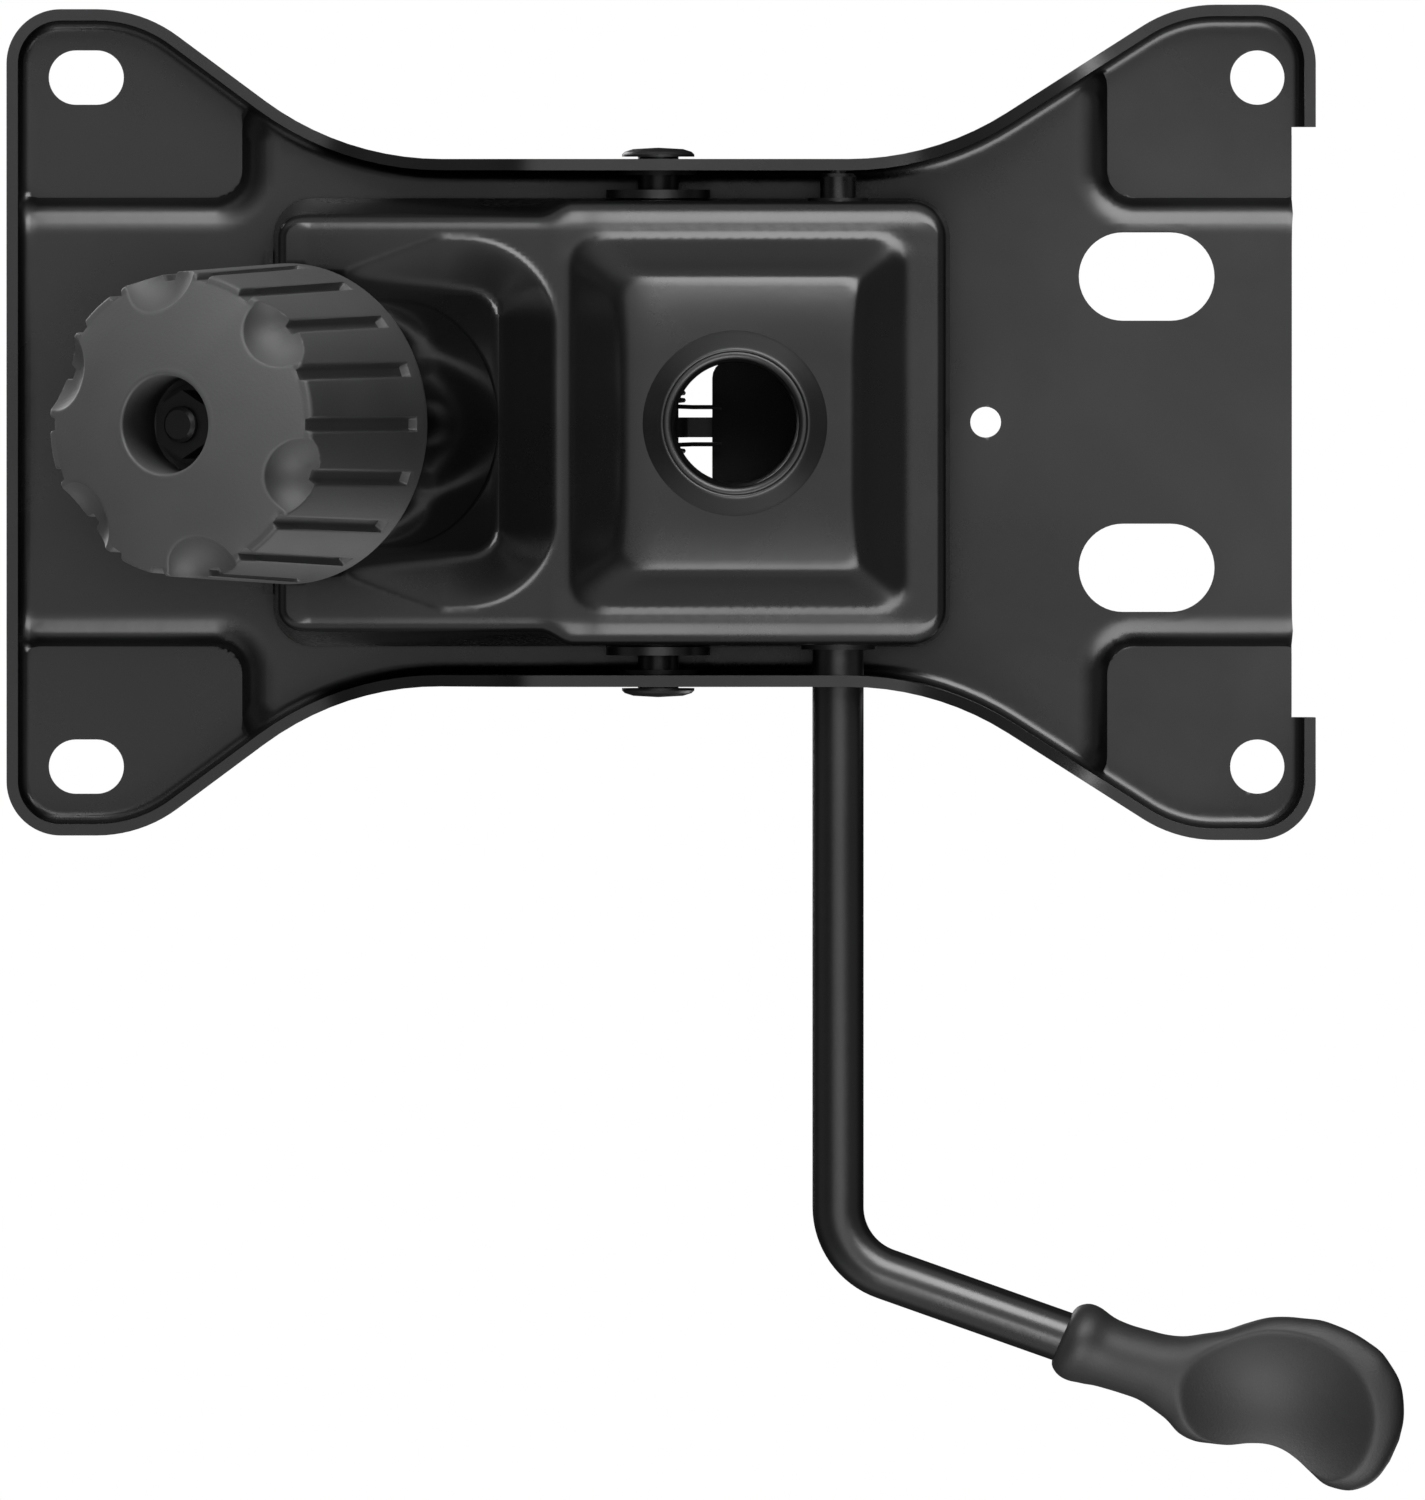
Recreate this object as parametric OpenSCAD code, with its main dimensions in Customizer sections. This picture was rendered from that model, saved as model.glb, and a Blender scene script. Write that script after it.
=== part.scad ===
// Tilt mechanism that joins an office chair's seat to its gas lift.
// The origin is the centre of the gas-lift socket's mouth. +Z is up, -Y is the front of the chair,
// and the lever points to -X, the sitter's right.

/* [Seat plate] */
// Distance from the gas-lift axis to the front edge
plate_front = 161; // [155:1:175]
// Distance from the gas-lift axis to the rear corners
plate_rear = 128.3; // [124:1:145]
// Half width at the front corners
front_half_w = 91.3; // [89:0.5:110]
// Half width at the rear corners
rear_half_w = 92.3; // [89:0.5:110]
// Gap between the housing's walls and the side flanges at the waist
flange_gap = 6.2; // [5.8:0.1:8]
// Sheet thickness of the plate
plate_t = 2.5; // [2:0.1:3]
// Height of the underside of the plate
plate_z = 58.5; // [58:0.5:61]
// Depth of the rim at the corners
rim_depth = 12; // [9:0.5:16]
// Depth of the side flanges at the waist
flange_depth = 45; // [44:0.5:47]
// Outer bend radius of the rim
rim_bend_r = 5.2; // [4:0.1:6]
// Height of the corner pads above the plate
pad_rise = 4; // [2:0.5:6]
// Length of the front pads
front_pad_len = 47.5; // [42:0.5:52]
// Length of the rear pads
rear_pad_len = 47; // [42:0.5:52]
// Distance between the pads of a pair
pad_gap = 98; // [94:1:104]
// Width of the sloped step beside a pad
pad_step = 6.5; // [4:0.5:7.5]
// Distance between the bolt holes of a pair
hole_row = 152.4; // [148:0.2:156]
// Distance from the gas-lift axis to the front bolt slots
front_hole_y = 143.5; // [142:0.5:147]
// Distance from the gas-lift axis to the rear bolt holes
rear_hole_y = 115.5; // [110:0.5:115.5]
// Diameter of the bolt holes and width of the bolt slots
hole_d = 12; // [8:0.5:13]
// Length of the front bolt slots
slot_len = 16.6; // [14:0.2:18]
// Width of the rear edge between the rim's two ends
rear_open_w = 132.4; // [120:0.4:136]
// Distance between the middles of the two large rear slots
relief_gap = 64.4; // [58:0.4:70]
// Distance from the rear corners to the middles of the large slots
relief_back = 37.3; // [35:0.1:44]
// Length of the two large rear slots
relief_len = 30; // [24:0.5:32]
// Width of the two large rear slots
relief_w = 19.5; // [14:0.5:20]
// Diameter of the small centre hole
pilot_d = 6.8; // [4:0.2:10]
// Length of the window over the gas lift
window_len = 58; // [50:1:62]
// Width of the window over the gas lift
window_w = 54; // [52:1:62]

/* [Housing] */
// Distance from the gas-lift axis to the front wall
pan_front = 102; // [100:0.5:106]
// Distance from the gas-lift axis to the rear wall
pan_rear = 47.4; // [46:0.2:50]
// Half width outside the side walls
pan_half_w = 49.5; // [48.5:0.1:50]
// Sheet thickness of the housing
pan_t = 2.5; // [2:0.1:3]
// Height of the underside of the shoulder
shoulder_z = 13.5; // [12:0.5:14]
// Height of the rim at the front
pan_rim_z = 55; // [54:0.2:55.4]
// Draft of the walls over their whole height
pan_draft = 1.5; // [0.5:0.1:2]
// Outer radius where the walls meet the shoulder
pan_edge_r = 4; // [3:0.2:5]
// Corner radius of the housing in plan
pan_corner_r = 8.6; // [7.5:0.2:10]
// Height of the underside of the gas-lift block
block_z = 2.5; // [2:0.1:4]
// Length of the block's flat underside
block_len = 50.8; // [46:0.2:52]
// Width of the block's flat underside
block_w = 64.6; // [58:0.2:68]
// Width of the block's sloped sides
block_slope = 9.7; // [8:0.1:9.7]

/* [Gas-lift socket] */
// Diameter of the taper socket at its mouth
socket_mouth_d = 28; // [27:0.1:28.4]
// Diameter of the taper socket at its upper end
socket_top_d = 26.5; // [25:0.1:26.8]
// Wall of the taper bush at its mouth
bush_wall = 2.5; // [2.2:0.1:2.6]
// Length of the taper bush
bush_len = 40; // [38:0.5:40]
// Width of the rolled collar round the bush
collar_w = 3.7; // [2.5:0.1:5.5]

/* [Tilt pivot] */
// Distance from the gas-lift axis forward to the tilt axle
axle_front = 17; // [16:0.2:18]
// Height of the tilt axle
axle_z = 46.5; // [46.2:0.1:46.8]
// Diameter of the tilt axle
axle_d = 9; // [8:0.1:9.2]
// Diameter of the axle's heads
axle_head_d = 16; // [14:0.5:20]
// Diameter of the side washers
washer_d = 23; // [18:0.5:24]
// Tilt range of the seat in degrees
tilt_range = 16; // [10:1:16]

/* [Lever] */
// Distance from the gas-lift axis back to the lever rod
lever_y = 22.7; // [22.7:0.1:23.5]
// Height of the lever rod
lever_z = 28; // [27:0.5:29]
// Diameter of the lever rod
rod_d = 11.3; // [10:0.1:11.3]
// Diameter of the rod's locking tip
tip_d = 8; // [7:0.1:8.6]
// Distance from the gas-lift axis to the lever's bend
bend_x = 184.1; // [150:1:200]
// Radius of the bend along the rod's middle
bend_r = 15.7; // [12:0.1:20]
// Angle of the rod beyond the bend, from straight back
bend_out = 19.5; // [10:0.5:30]
// Distance from the bend's corner to the grip
grip_start = 55.5; // [50:0.5:80]
// Travel of the lever when it is pushed in
lever_push = 9; // [7:0.2:9]

/* [Tension adjuster] */
// Angle of the adjuster from straight down, toward the front
adjuster_lean = 30; // [28:0.5:31]
// Distance from the gas-lift axis to the middle of the sleeve's seat
sleeve_front = 76; // [75:0.2:77]
// Outside diameter of the sleeve
sleeve_d = 55; // [53:0.2:56]
// Length of the sleeve
sleeve_len = 46; // [44:0.5:46]
// Diameter of the tension bolt
bolt_d = 8; // [7:0.1:8.4]
// Diameter of the cross bar at the bolt's head
bar_d = 10; // [9:0.1:10.4]
// Length of the cross bar
bar_len = 28; // [24:0.5:29]
// Wire diameter of the tension spring
spring_wire = 6; // [5:0.1:6.2]
// Outside diameter of the tension spring
spring_d = 47; // [44:0.2:48]
// Number of turns of the tension spring
spring_turns = 6; // [5:1:7]

/* [Knob] */
// Distance from the sleeve's seat to the knob's rim
knob_start = 43.4; // [42:0.2:44.4]
// Length of the knob from its rim to the edge of its face
knob_len = 48; // [46:0.5:56]
// Diameter of the knob at its rim
knob_rim_d = 70.5; // [68:0.5:76]
// Diameter of the knob at its face
knob_face_d = 67; // [64:0.5:70]
// Rise of the knob's rounded face
knob_crown = 7.5; // [4:0.5:9]
// Diameter of the hole in the knob's face
knob_recess_d = 21.6; // [20:0.2:24]
// Number of grooves round the knob
groove_count = 18; // [12:1:24]
// Number of finger scallops at the edge of the face
scallop_count = 6; // [4:1:8]
// Turns of the knob from slack to tight
knob_turns = 6; // [3:1:6]
// Travel of the knob for one turn
thread_pitch = 3; // [1.5:0.1:3]

/* [Grip] */
// Length of the grip from the rod's end of its neck to its tip
grip_len = 76; // [70:1:80]
// Scale of the grip's width
grip_width = 1; // [0.9:0.02:1.1]
// Thickness of the grip's paddle
grip_t = 13; // [11:0.5:16]
// Depth of the finger hollow under the paddle
grip_hollow = 3; // [1:0.2:4]

/* [Clearances] */
// Play round a turning or sliding pin, on the radius
running_fit = 0.05; // [0.02:0.01:0.08]
// Gap between pieces that seat on each other in one body
seat_gap = 0.05; // [0.02:0.01:0.1]
// Gap between moving bodies
body_gap = 0.5; // [0.4:0.05:0.6]

/* [Hidden] */
$fn = 48;
cut = 1;          // how far a cutting shape runs past a face
arc_steps = 5;    // straight pieces in one rounded corner of an outline
bend_steps = 3;   // rings in one rounded edge of pressed sheet
far = 300;

plate_top = plate_z + plate_t;
inner_half_w = pan_half_w + flange_gap;
waist_half_w = inner_half_w + plate_t;
bush_d = socket_mouth_d + 2 * bush_wall;
collar_d = bush_d + 2 * collar_w;
// Rounded corners of the plate's outline, and where its waist starts
front_corner_r = 12;
rear_corner_r = 13;
shoulder_r = 30;
waist_r = 65;
front_ear_len = 29.8;
front_waist_len = 74.4;
rear_ear_len = 30.9;
rear_waist_len = 84.3;
rear_edge_in = rim_bend_r + 0.3;
notch_d = 4;
pad_corner_r = 7;
front_pad_in = 5.5;
window_r = 6;
window_front = 2;     // how far the window's middle is in front of the gas lift
pilot_back = 8;       // from the housing's rear wall to the small hole
adj_dir = [0, sin(adjuster_lean), cos(adjuster_lean)];
// The sleeve's seat leaves the shoulder this far in front of the gas lift
wedge_start = sleeve_front + 6.2;
wedge_rear = sleeve_front - 24;
face_half_w = (sleeve_d + 9.8) / 2;
face_corner_r = 6;
foot_side = 8.6;      // width of the slope beside the face at its rear
foot_front = 2.5;     // and at its front
foot_rear = 5.5;      // and behind it
face_z = shoulder_z - (wedge_start - sleeve_front) * tan(adjuster_lean);
// The cross bar lies on the plate, straight up the adjuster's axis from the sleeve's seat
bar_z = plate_z + 0.7;
bar_reach = (bar_z - face_z) / cos(adjuster_lean);
bar_y = -sleeve_front + bar_reach * sin(adjuster_lean);
bar_swing = 0.1;      // half of what the bar strays from the seat plate's arc
saddle_r = bar_d / 2 + 1;
saddle_t = 2.2;
slot_play = 0.6;
knob_cavity_r = sleeve_d / 2 + 1.5;
knob_web_z = 76;      // distance from the sleeve's seat to the web inside the knob
knob_web_t = 8;
cap_t = 3.8;
nut_af = 13;
nut_h = 6.5;
bolt_end = knob_start + knob_len + 0.9;
spring_start = 2.3;
// Hubs inside the spring's ends: the coils are drawn with eight straights to a turn
coil_hub_d = (spring_d - spring_wire) * cos(180 / 8) - spring_wire - 2 * body_gap;
spring_end = knob_web_z - running_fit * 2 - cap_t;
wall_inner_x = pan_half_w - pan_draft - pan_t;
washer_t = (inner_half_w - pan_half_w) * 0.3;
ear_x = pan_half_w - 27.5;
ear_t = 2.5;
paddle_z = lever_z + 19;
paddle_edge_r = 3;
tongue_near = 16;     // how far the tongue reaches to the lever's side
tongue_far = 13.8;    // and to the other side
tongue_r = 4;
paddle_t = 2.5;
paddle_front = 5.07;
hub_r = 8.6;
rod_shoulder_x = pan_half_w - 14.7;
tip_end_x = pan_half_w + 1.3;
coil_wire = 1.1;
saddle_lip = 7;
bumper_w = 16;
bumper_x = 30;
bumper_grip = 6;
washer_lip = 1.2;
coil_r = (axle_d / 2 + 0.12 + coil_wire / 2) / cos(180 / 8);

// Unit vector
function unit(v) = v / norm(v);
// Points at one height
function ring(points, z) = [for (p = points) [p[0], p[1], z]];
// One rounded corner at p between a and b: pairs of a point and its outward direction
function corner(a, p, b, r, steps) =
    let (u = unit(a - p), v = unit(b - p), half = acos(u * v) / 2,
         side = v[0] * u[1] - v[1] * u[0] > 0 ? 1 : -1,
         middle = p + unit(u + v) * r / sin(half), s = p + u * r / tan(half) - middle,
         from = atan2(s[1], s[0]), sweep = side * (180 - 2 * half))
    [for (k = [0:steps]) let (w = from + sweep * k / steps, d = [cos(w), sin(w)])
        [middle + r * d, side * d]];
// A closed outline, counterclockwise, from corners [x, y, radius]
function outline(corners, steps = arc_steps) =
    let (n = len(corners))
    [for (i = [0:n - 1]) let (a = corners[(i + n - 1) % n], p = corners[i], b = corners[(i + 1) % n])
        each corner([a[0], a[1]], [p[0], p[1]], [b[0], b[1]], p[2], steps)];
// The outline's points moved inward by d
function inset(path, d) = [for (p = path) p[0] - d * p[1]];
// Half an outline mirrored to the other side
function both_sides(half) =
    concat(half, [for (i = [len(half) - 1:-1:0]) [-half[i][0], half[i][1], half[i][2]]]);
function box_corners(x, front, rear, r) = both_sides([[x, front, r], [x, rear, r]]);

// Closed solid through rings of equal count, each counterclockwise as seen from the last ring
module loft(rings) {
    n = len(rings[0]);
    m = len(rings);
    side = [for (j = [0:m - 2], i = [0:n - 1])
        let (a = j * n + i, b = j * n + (i + 1) % n) each [[a, a + n, b + n], [a, b + n, b]]];
    polyhedron([for (r = rings) each r],
        concat([[for (i = [0:n - 1]) i]], side, [[for (i = [n - 1:-1:0]) (m - 1) * n + i]]));
}

// Tube of wire along points that come with a sideways direction each
function tube_rings(path, r, sides) = [for (i = [0:len(path) - 1])
    let (a = path[max(i - 1, 0)][0], b = path[min(i + 1, len(path) - 1)][0], t = unit(b - a),
         s = path[i][1], n = unit(s - (s * t) * t), k = cross(t, n))
    [for (j = [0:sides - 1]) let (w = 360 * j / sides) path[i][0] + r * (cos(w) * n + sin(w) * k)]];

// Moves children to the adjuster: its axis becomes Z and its seat becomes z = 0, with the knob below
module on_adjuster() translate([0, -sleeve_front, face_z]) rotate([-adjuster_lean, 0, 0]) children();
// Turns a Z-axis shape onto the X axis
module along_x() rotate([0, 90, 0]) children();
module x_cylinder(x0, x1, d, y, z) translate([x0, y, z]) along_x() cylinder(d = d, h = x1 - x0);
module axle_hole(x0, x1, d) x_cylinder(x0, x1, d, -axle_front, axle_z);
module lever_hole(x0, x1, d) x_cylinder(x0, x1, d, lever_y, lever_z);
// Slot along Y through the plate
module y_slot(x, y, length, width, z0, z1) {
    for (s = [-1, 1]) translate([x, y + s * (length - width) / 2, z0]) cylinder(d = width, h = z1 - z0);
    translate([x - width / 2, y - (length - width) / 2, z0]) cube([width, length - width, z1 - z0]);
}

// Seat plate

plate_path = outline(both_sides([
    [front_half_w, -plate_front, front_corner_r], [front_half_w, -plate_front + front_ear_len, shoulder_r],
    [waist_half_w, -plate_front + front_waist_len, waist_r], [waist_half_w, plate_rear - rear_waist_len, waist_r],
    [rear_half_w, plate_rear - rear_ear_len, shoulder_r], [rear_half_w, plate_rear, rear_corner_r]]));

// Filled tray that opens downward: inset by d from the outline, with a bent top edge
module tray_down(path, d, z_low, z_top, r) loft(concat(
    [ring(inset(path, d), z_low)],
    [for (k = [0:bend_steps]) let (w = 90 * k / bend_steps)
        ring(inset(path, d + r * (1 - cos(w))), z_top - r + r * sin(w))]));

// The block that a pad fills: side is -1 or 1 for left or right, end is -1 or 1 for front or rear
module pad_block(side, end, grow, z0, z1) {
    reach = end < 0 ? plate_front - front_pad_in - front_pad_len : plate_rear - rear_pad_len;
    path = outline([[-far, 0, 1], [-pad_gap / 2, 0, pad_corner_r], [-pad_gap / 2, far, 1], [-far, far, 1]], 4);
    // It starts under the rim's bend, so that the rim rises straight to the pad
    rings = concat([ring(inset(path, grow - pad_step / 2), z0 - rim_bend_r - cut)],
        [for (s = [[-1, 0], [-0.86, 0.08], [-0.55, 0.4], [-0.3, 0.72], [-0.1, 0.95], [0, 1]])
            ring(inset(path, s[0] * pad_step + grow), z0 + (z1 - z0) * s[1])]);
    mirror([side > 0 ? 1 : 0, 0, 0]) mirror([0, end < 0 ? 1 : 0, 0])
        translate([0, reach, 0]) loft(rings);
}

// The pressed sheet as a filled shape, inset by d and lowered by d
module plate_fill(d) {
    r = rim_bend_r - d;
    z_low = plate_top - flange_depth - 4 * cut - d;
    tray_down(plate_path, d, z_low, plate_top - d, r);
    for (side = [-1, 1], end = [-1, 1]) intersection() {
        tray_down(plate_path, d, z_low, plate_top + pad_rise - d, r);
        pad_block(side, end, d * 0.45, plate_top - d - 0.02, plate_top + pad_rise - d);
    }
}

// Lower edge of the rim: shallow round the corners and deep along the waist
module rim_profile() {
    deep = plate_top - flange_depth;
    shallow = plate_top - rim_depth;
    rotate([90, 0, 90]) translate([0, 0, -far / 2]) linear_extrude(far)
        polygon(inset(outline([[-far, deep - far, 1], [far, deep - far, 1], [far, shallow, 1],
            [waist_rear + 34, shallow, 16], [waist_rear, deep, 18],
            [-waist_front, deep, 18], [-waist_front - 34, shallow, 16], [-far, shallow, 1]]), 0));
}
waist_rear = lever_y + 19;
waist_front = axle_front + 34;

// Slot that lets the lever rod pass while the seat tilts, along the chord of its arc
module rod_slot(x0, x1) {
    r = norm([lever_y + axle_front, lever_z - axle_z]);
    w = atan2(lever_z - axle_z, lever_y + axle_front) + tilt_range / 2;
    chord = 2 * r * sin(tilt_range / 2);
    sag = r * (1 - cos(tilt_range / 2));
    width = rod_d + 2 * slot_play + sag;
    translate([x0, -axle_front, axle_z]) rotate([90, 0, 90]) rotate(w) translate([r - sag / 2, 0, 0]) {
        for (s = [-1, 1]) translate([0, s * chord / 2, 0]) cylinder(d = width, h = x1 - x0);
        translate([-width / 2, -chord / 2, 0]) cube([width, chord, x1 - x0]);
    }
}

// The pressed sheet without its holes. A resize that keeps the size makes it one closed mesh
module pressed_plate() resize([0, 0, 0]) difference() {
    plate_fill(0);
    plate_fill(plate_t);
    rim_profile();
    // The rear edge is open between the corners, with a relief notch at each end
    translate([-rear_open_w / 2, plate_rear - rear_edge_in, plate_z - far / 2])
        cube([rear_open_w, rear_edge_in + cut, far]);
    for (s = [-1, 1]) translate([s * rear_open_w / 2, plate_rear - rear_edge_in + 1.1, plate_z - far / 2])
        cylinder(d = notch_d, h = far, $fn = 16);
}

module seat_plate() color([0.11, 0.11, 0.12]) difference() {
    pressed_plate();
    for (s = [-1, 1]) {
        y_slot(s * hole_row / 2, -front_hole_y, slot_len, hole_d, plate_z, plate_top + 2 * pad_rise);
        translate([s * hole_row / 2, rear_hole_y, plate_z]) cylinder(d = hole_d, h = plate_t + 2 * pad_rise);
        y_slot(s * relief_gap / 2, plate_rear - relief_back, relief_len, relief_w, plate_z - cut,
            plate_top + 2 * pad_rise);
    }
    translate([0, pan_rear + pilot_back, plate_z - cut]) cylinder(d = pilot_d, h = plate_t + 2 * cut);
    translate([0, 0, plate_z - cut]) linear_extrude(plate_t + 2 * cut)
        polygon(inset(outline(box_corners(window_w / 2, -window_len / 2 - window_front,
            window_len / 2 - window_front, window_r)), 0));
    // Opening for the cross bar and its saddle
    translate([-saddle_half_x, saddle_y - saddle_r, plate_z - cut])
        cube([2 * saddle_half_x, 2 * saddle_r, plate_t + 2 * cut]);
    // Bores of the side flanges
    axle_hole(-far / 2, far / 2, axle_d + 2 * flange_bush_t + 2 * seat_gap);
    rod_slot(-waist_half_w - cut, -inner_half_w + cut);
    for (w = [0, tilt_range]) translate([0, -axle_front, axle_z]) rotate([w, 0, 0])
        translate([0, axle_front, -axle_z]) lever_hole(inner_half_w - cut, waist_half_w + cut, tip_d + 1.4);
}
saddle_half_x = bar_len / 2 + 1.5;
saddle_y = bar_y + bar_swing * cos(adjuster_lean);
saddle_z = bar_z - bar_swing * sin(adjuster_lean);
flange_bush_t = 1.6;

// Half-round trough welded under the plate, slotted for the bolt
module bolt_saddle() color([0.16, 0.16, 0.17]) {
    lip = saddle_lip;
    outer = saddle_r + saddle_t;
    difference() {
        union() {
            x_cylinder(-saddle_half_x, saddle_half_x, 2 * outer, saddle_y, saddle_z);
            translate([-saddle_half_x, saddle_y - outer - lip, plate_z - seat_gap - saddle_t])
                cube([2 * saddle_half_x, 2 * (outer + lip), saddle_t]);
        }
        x_cylinder(-saddle_half_x - cut, saddle_half_x + cut, 2 * saddle_r, saddle_y, saddle_z);
        translate([-saddle_half_x - cut, saddle_y - outer - lip - cut, plate_z - seat_gap])
            cube([2 * (saddle_half_x + cut), 2 * (outer + lip + cut), outer + cut]);
        translate([-bolt_d / 2 - slot_play, saddle_y - outer - 2, saddle_z - outer - cut])
            cube([bolt_d + 2 * slot_play, outer + saddle_r, outer]);
    }
}

// Plastic bushes pressed into the side flanges round the axle
module flange_bushes() color([0.12, 0.12, 0.12]) for (s = [-1, 1]) {
    collar_x = inner_half_w - seat_gap - 1;
    difference() {
        union() {
            axle_hole(s > 0 ? collar_x : -waist_half_w, s > 0 ? waist_half_w : -collar_x,
                axle_d + 2 * flange_bush_t);
            axle_hole(s > 0 ? collar_x : -collar_x - 1, s > 0 ? collar_x + 1 : -collar_x,
                axle_d + 2 * flange_bush_t + 5);
        }
        axle_hole(-far / 2, far / 2, axle_d + 2 * running_fit);
    }
}

// Housing

pan_path = outline(box_corners(pan_half_w, -pan_front, pan_rear, pan_corner_r));

// Filled tray that opens upward
module tray_up(path, z_low, z_top, d, r) loft(concat(
    [for (k = [0:bend_steps]) let (w = 90 * k / bend_steps)
        ring(inset(path, pan_draft + d + r * (1 - sin(w))), z_low + r * (1 - cos(w)))],
    [ring(inset(path, d), z_top)]));

// The gas-lift block: a low truncated pyramid under the shoulder
module block_fill(d) {
    base = inset(outline(both_sides([
        [block_w / 2 + block_slope, -block_len / 2 + block_back - block_slope * 1.24, 3],
        [block_w / 2 + block_slope, block_len / 2 + block_back + block_slope * 1.34, 6.4]]), 5), 0);
    flat = inset(outline(box_corners(block_w / 2, -block_len / 2 + block_back, block_len / 2 + block_back, 2), 5), 0);
    // Share of the way from the base to the flat, and share of the drop
    rings = [for (s = [[1, 1], [0.9, 0.97], [0.74, 0.8], [0.26, 0.2], [0.1, 0.03], [0, 0]])
        let (z = shoulder_z + (block_z - shoulder_z) * s[1])
        ring(base + (flat - base) * s[0], z + d)];
    loft(concat(rings, [ring(base, shoulder_z + pan_t + 2)]));
}
block_back = 1;       // how far the block's middle is behind the gas lift

// The sleeve's seat: a sloped face that comes out of the shoulder
module wedge_fill(grow) {
    top = shoulder_z + pan_t + 0.5 + grow;
    function on_face(p) = [p[0], p[1], shoulder_z - (p[1] + wedge_start) * tan(adjuster_lean) + grow];
    face = inset(outline(both_sides([[face_half_w - 0.6, -wedge_start - 2, 0.5],
        [face_half_w - 2, -wedge_rear, face_corner_r]]), 5), grow * 0.8);
    foot = inset(outline(both_sides([[face_half_w + foot_front, -wedge_start - 2, 0.5],
        [face_half_w + foot_side, -wedge_rear + foot_rear, 1.5 * face_corner_r]]), 5), grow * 0.8);
    n = len(face);
    middle = [for (i = [0:n - 1]) let (f = on_face(face[i]))
        [f[0] * 0.9 + foot[i][0] * 0.1, f[1] * 0.9 + foot[i][1] * 0.1, f[2] + (top - f[2]) * 0.02]];
    loft([[for (p = face) on_face(p)], middle, ring(foot, top)]);
}

// The block of air in front of the sleeve's seat, open to the front
module seat_pocket(grow) on_adjuster() translate([0, 0, -80])
    linear_extrude(80 + grow) polygon(inset(outline(box_corners(face_half_w + grow,
        -60, (sleeve_front - wedge_rear) / cos(adjuster_lean) + 8, 5)), 0));

module pan_fill(d) {
    difference() {
        union() {
            tray_up(pan_path, shoulder_z + d, pan_rim_z + cut, d, pan_edge_r - d * 0.6);
            block_fill(d);
            wedge_fill(d);
        }
        seat_pocket(d);
    }
}

// Sloped cut that gives the rim its side view
module rim_cut() rotate([90, 0, 90]) translate([0, 0, -far / 2]) linear_extrude(far)
    polygon([[-far, pan_rim_z], [-axle_front + 5, pan_rim_z],
        [pan_rear + 20, pan_rim_z - (pan_rear + 15 + axle_front) * tan(tilt_range - 0.5)],
        [pan_rear + 20, far], [-far, far]]);

// The deep-drawn sheet without its holes, as one closed mesh
module drawn_pan() resize([0, 0, 0]) difference() {
    pan_fill(0);
    pan_fill(pan_t);
    rim_cut();
    translate([0, 0, -cut]) cylinder(d = bush_d - 1, h = shoulder_z + 5);
}

module housing_pan() color([0.1, 0.1, 0.11]) difference() {
    union() {
        drawn_pan();
        // Rolled collar round the bush
        rotate_extrude() polygon([[bush_d / 2 - 1, block_z + 1], [bush_d / 2 - 1, 0.6], [bush_d / 2 + 1.2, 0.1],
            [collar_d / 2 - 2.4, 0.3], [collar_d / 2 - 0.6, 1.1], [collar_d / 2, block_z + 1]]);
    }
    translate([0, 0, -cut]) cylinder(d = bush_d + 2 * seat_gap, h = shoulder_z + 5);
    axle_hole(-far / 2, far / 2, axle_d + 2 * seat_gap);
    lever_hole(-pan_half_w - cut, 0, near_bush_d + 2 * seat_gap);
    lever_hole(0, pan_half_w + cut, far_bush_d + 2 * seat_gap);
    on_adjuster() translate([0, 0, -cut]) cylinder(d = bolt_d + 2, h = pan_t + 2 * cut);
}
near_bush_d = rod_d + 2.7;
far_bush_d = tip_d + 3;

// Tapered steel bush that takes the top of the gas lift
module taper_bush() color([0.3, 0.3, 0.31]) difference() {
    cylinder(d = bush_d, h = bush_len);
    translate([0, 0, -0.01]) cylinder(d1 = socket_mouth_d, d2 = socket_top_d, h = bush_len + 0.02);
    translate([0, 0, -0.01]) cylinder(d1 = socket_mouth_d + 2, d2 = socket_mouth_d - 0.2, h = 1.1);
}

// Cross brace that holds the top of the bush between the side walls
module bush_brace() color([0.14, 0.14, 0.15]) {
    z = bush_len - 4;
    tab_h = 9;
    // The walls lean in, so the brace is as wide as the housing is at the foot of its tabs
    half = pan_half_w - pan_t - 2 * seat_gap
        - pan_draft * (pan_rim_z - z + tab_h) / (pan_rim_z - shoulder_z - pan_edge_r);
    difference() {
        union() {
            translate([0, 0, z]) cylinder(r = bush_d / 2 + 3.2, h = 2.5);
            translate([-half, -bush_d / 2 - 3, z]) cube([2 * half, bush_d / 2 + 3, 2.5]);
            for (s = [-1, 1]) translate([s > 0 ? half - 2.5 : -half, -bush_d / 2 - 3, z - tab_h])
                cube([2.5, bush_d / 2 + 3, tab_h + 1]);
        }
        translate([0, 0, z - 10]) cylinder(d = bush_d + 2 * seat_gap, h = 20);
    }
}

// Riveted axle with a rounded head at each end
module pivot_axle() color([0.13, 0.13, 0.14]) {
    head_x = waist_half_w + body_gap;
    axle_hole(-head_x, head_x, axle_d);
    for (s = [-1, 1]) translate([s * head_x, -axle_front, axle_z]) rotate([0, s * 90, 0])
        rotate_extrude() polygon([[0, -0.01], [axle_head_d / 2, -0.01], [axle_head_d / 2, 0.5],
            [axle_head_d / 2 - 0.6, 1.1], [axle_head_d / 2 - 2.5, 1.7], [0, 2]]);
}

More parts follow.
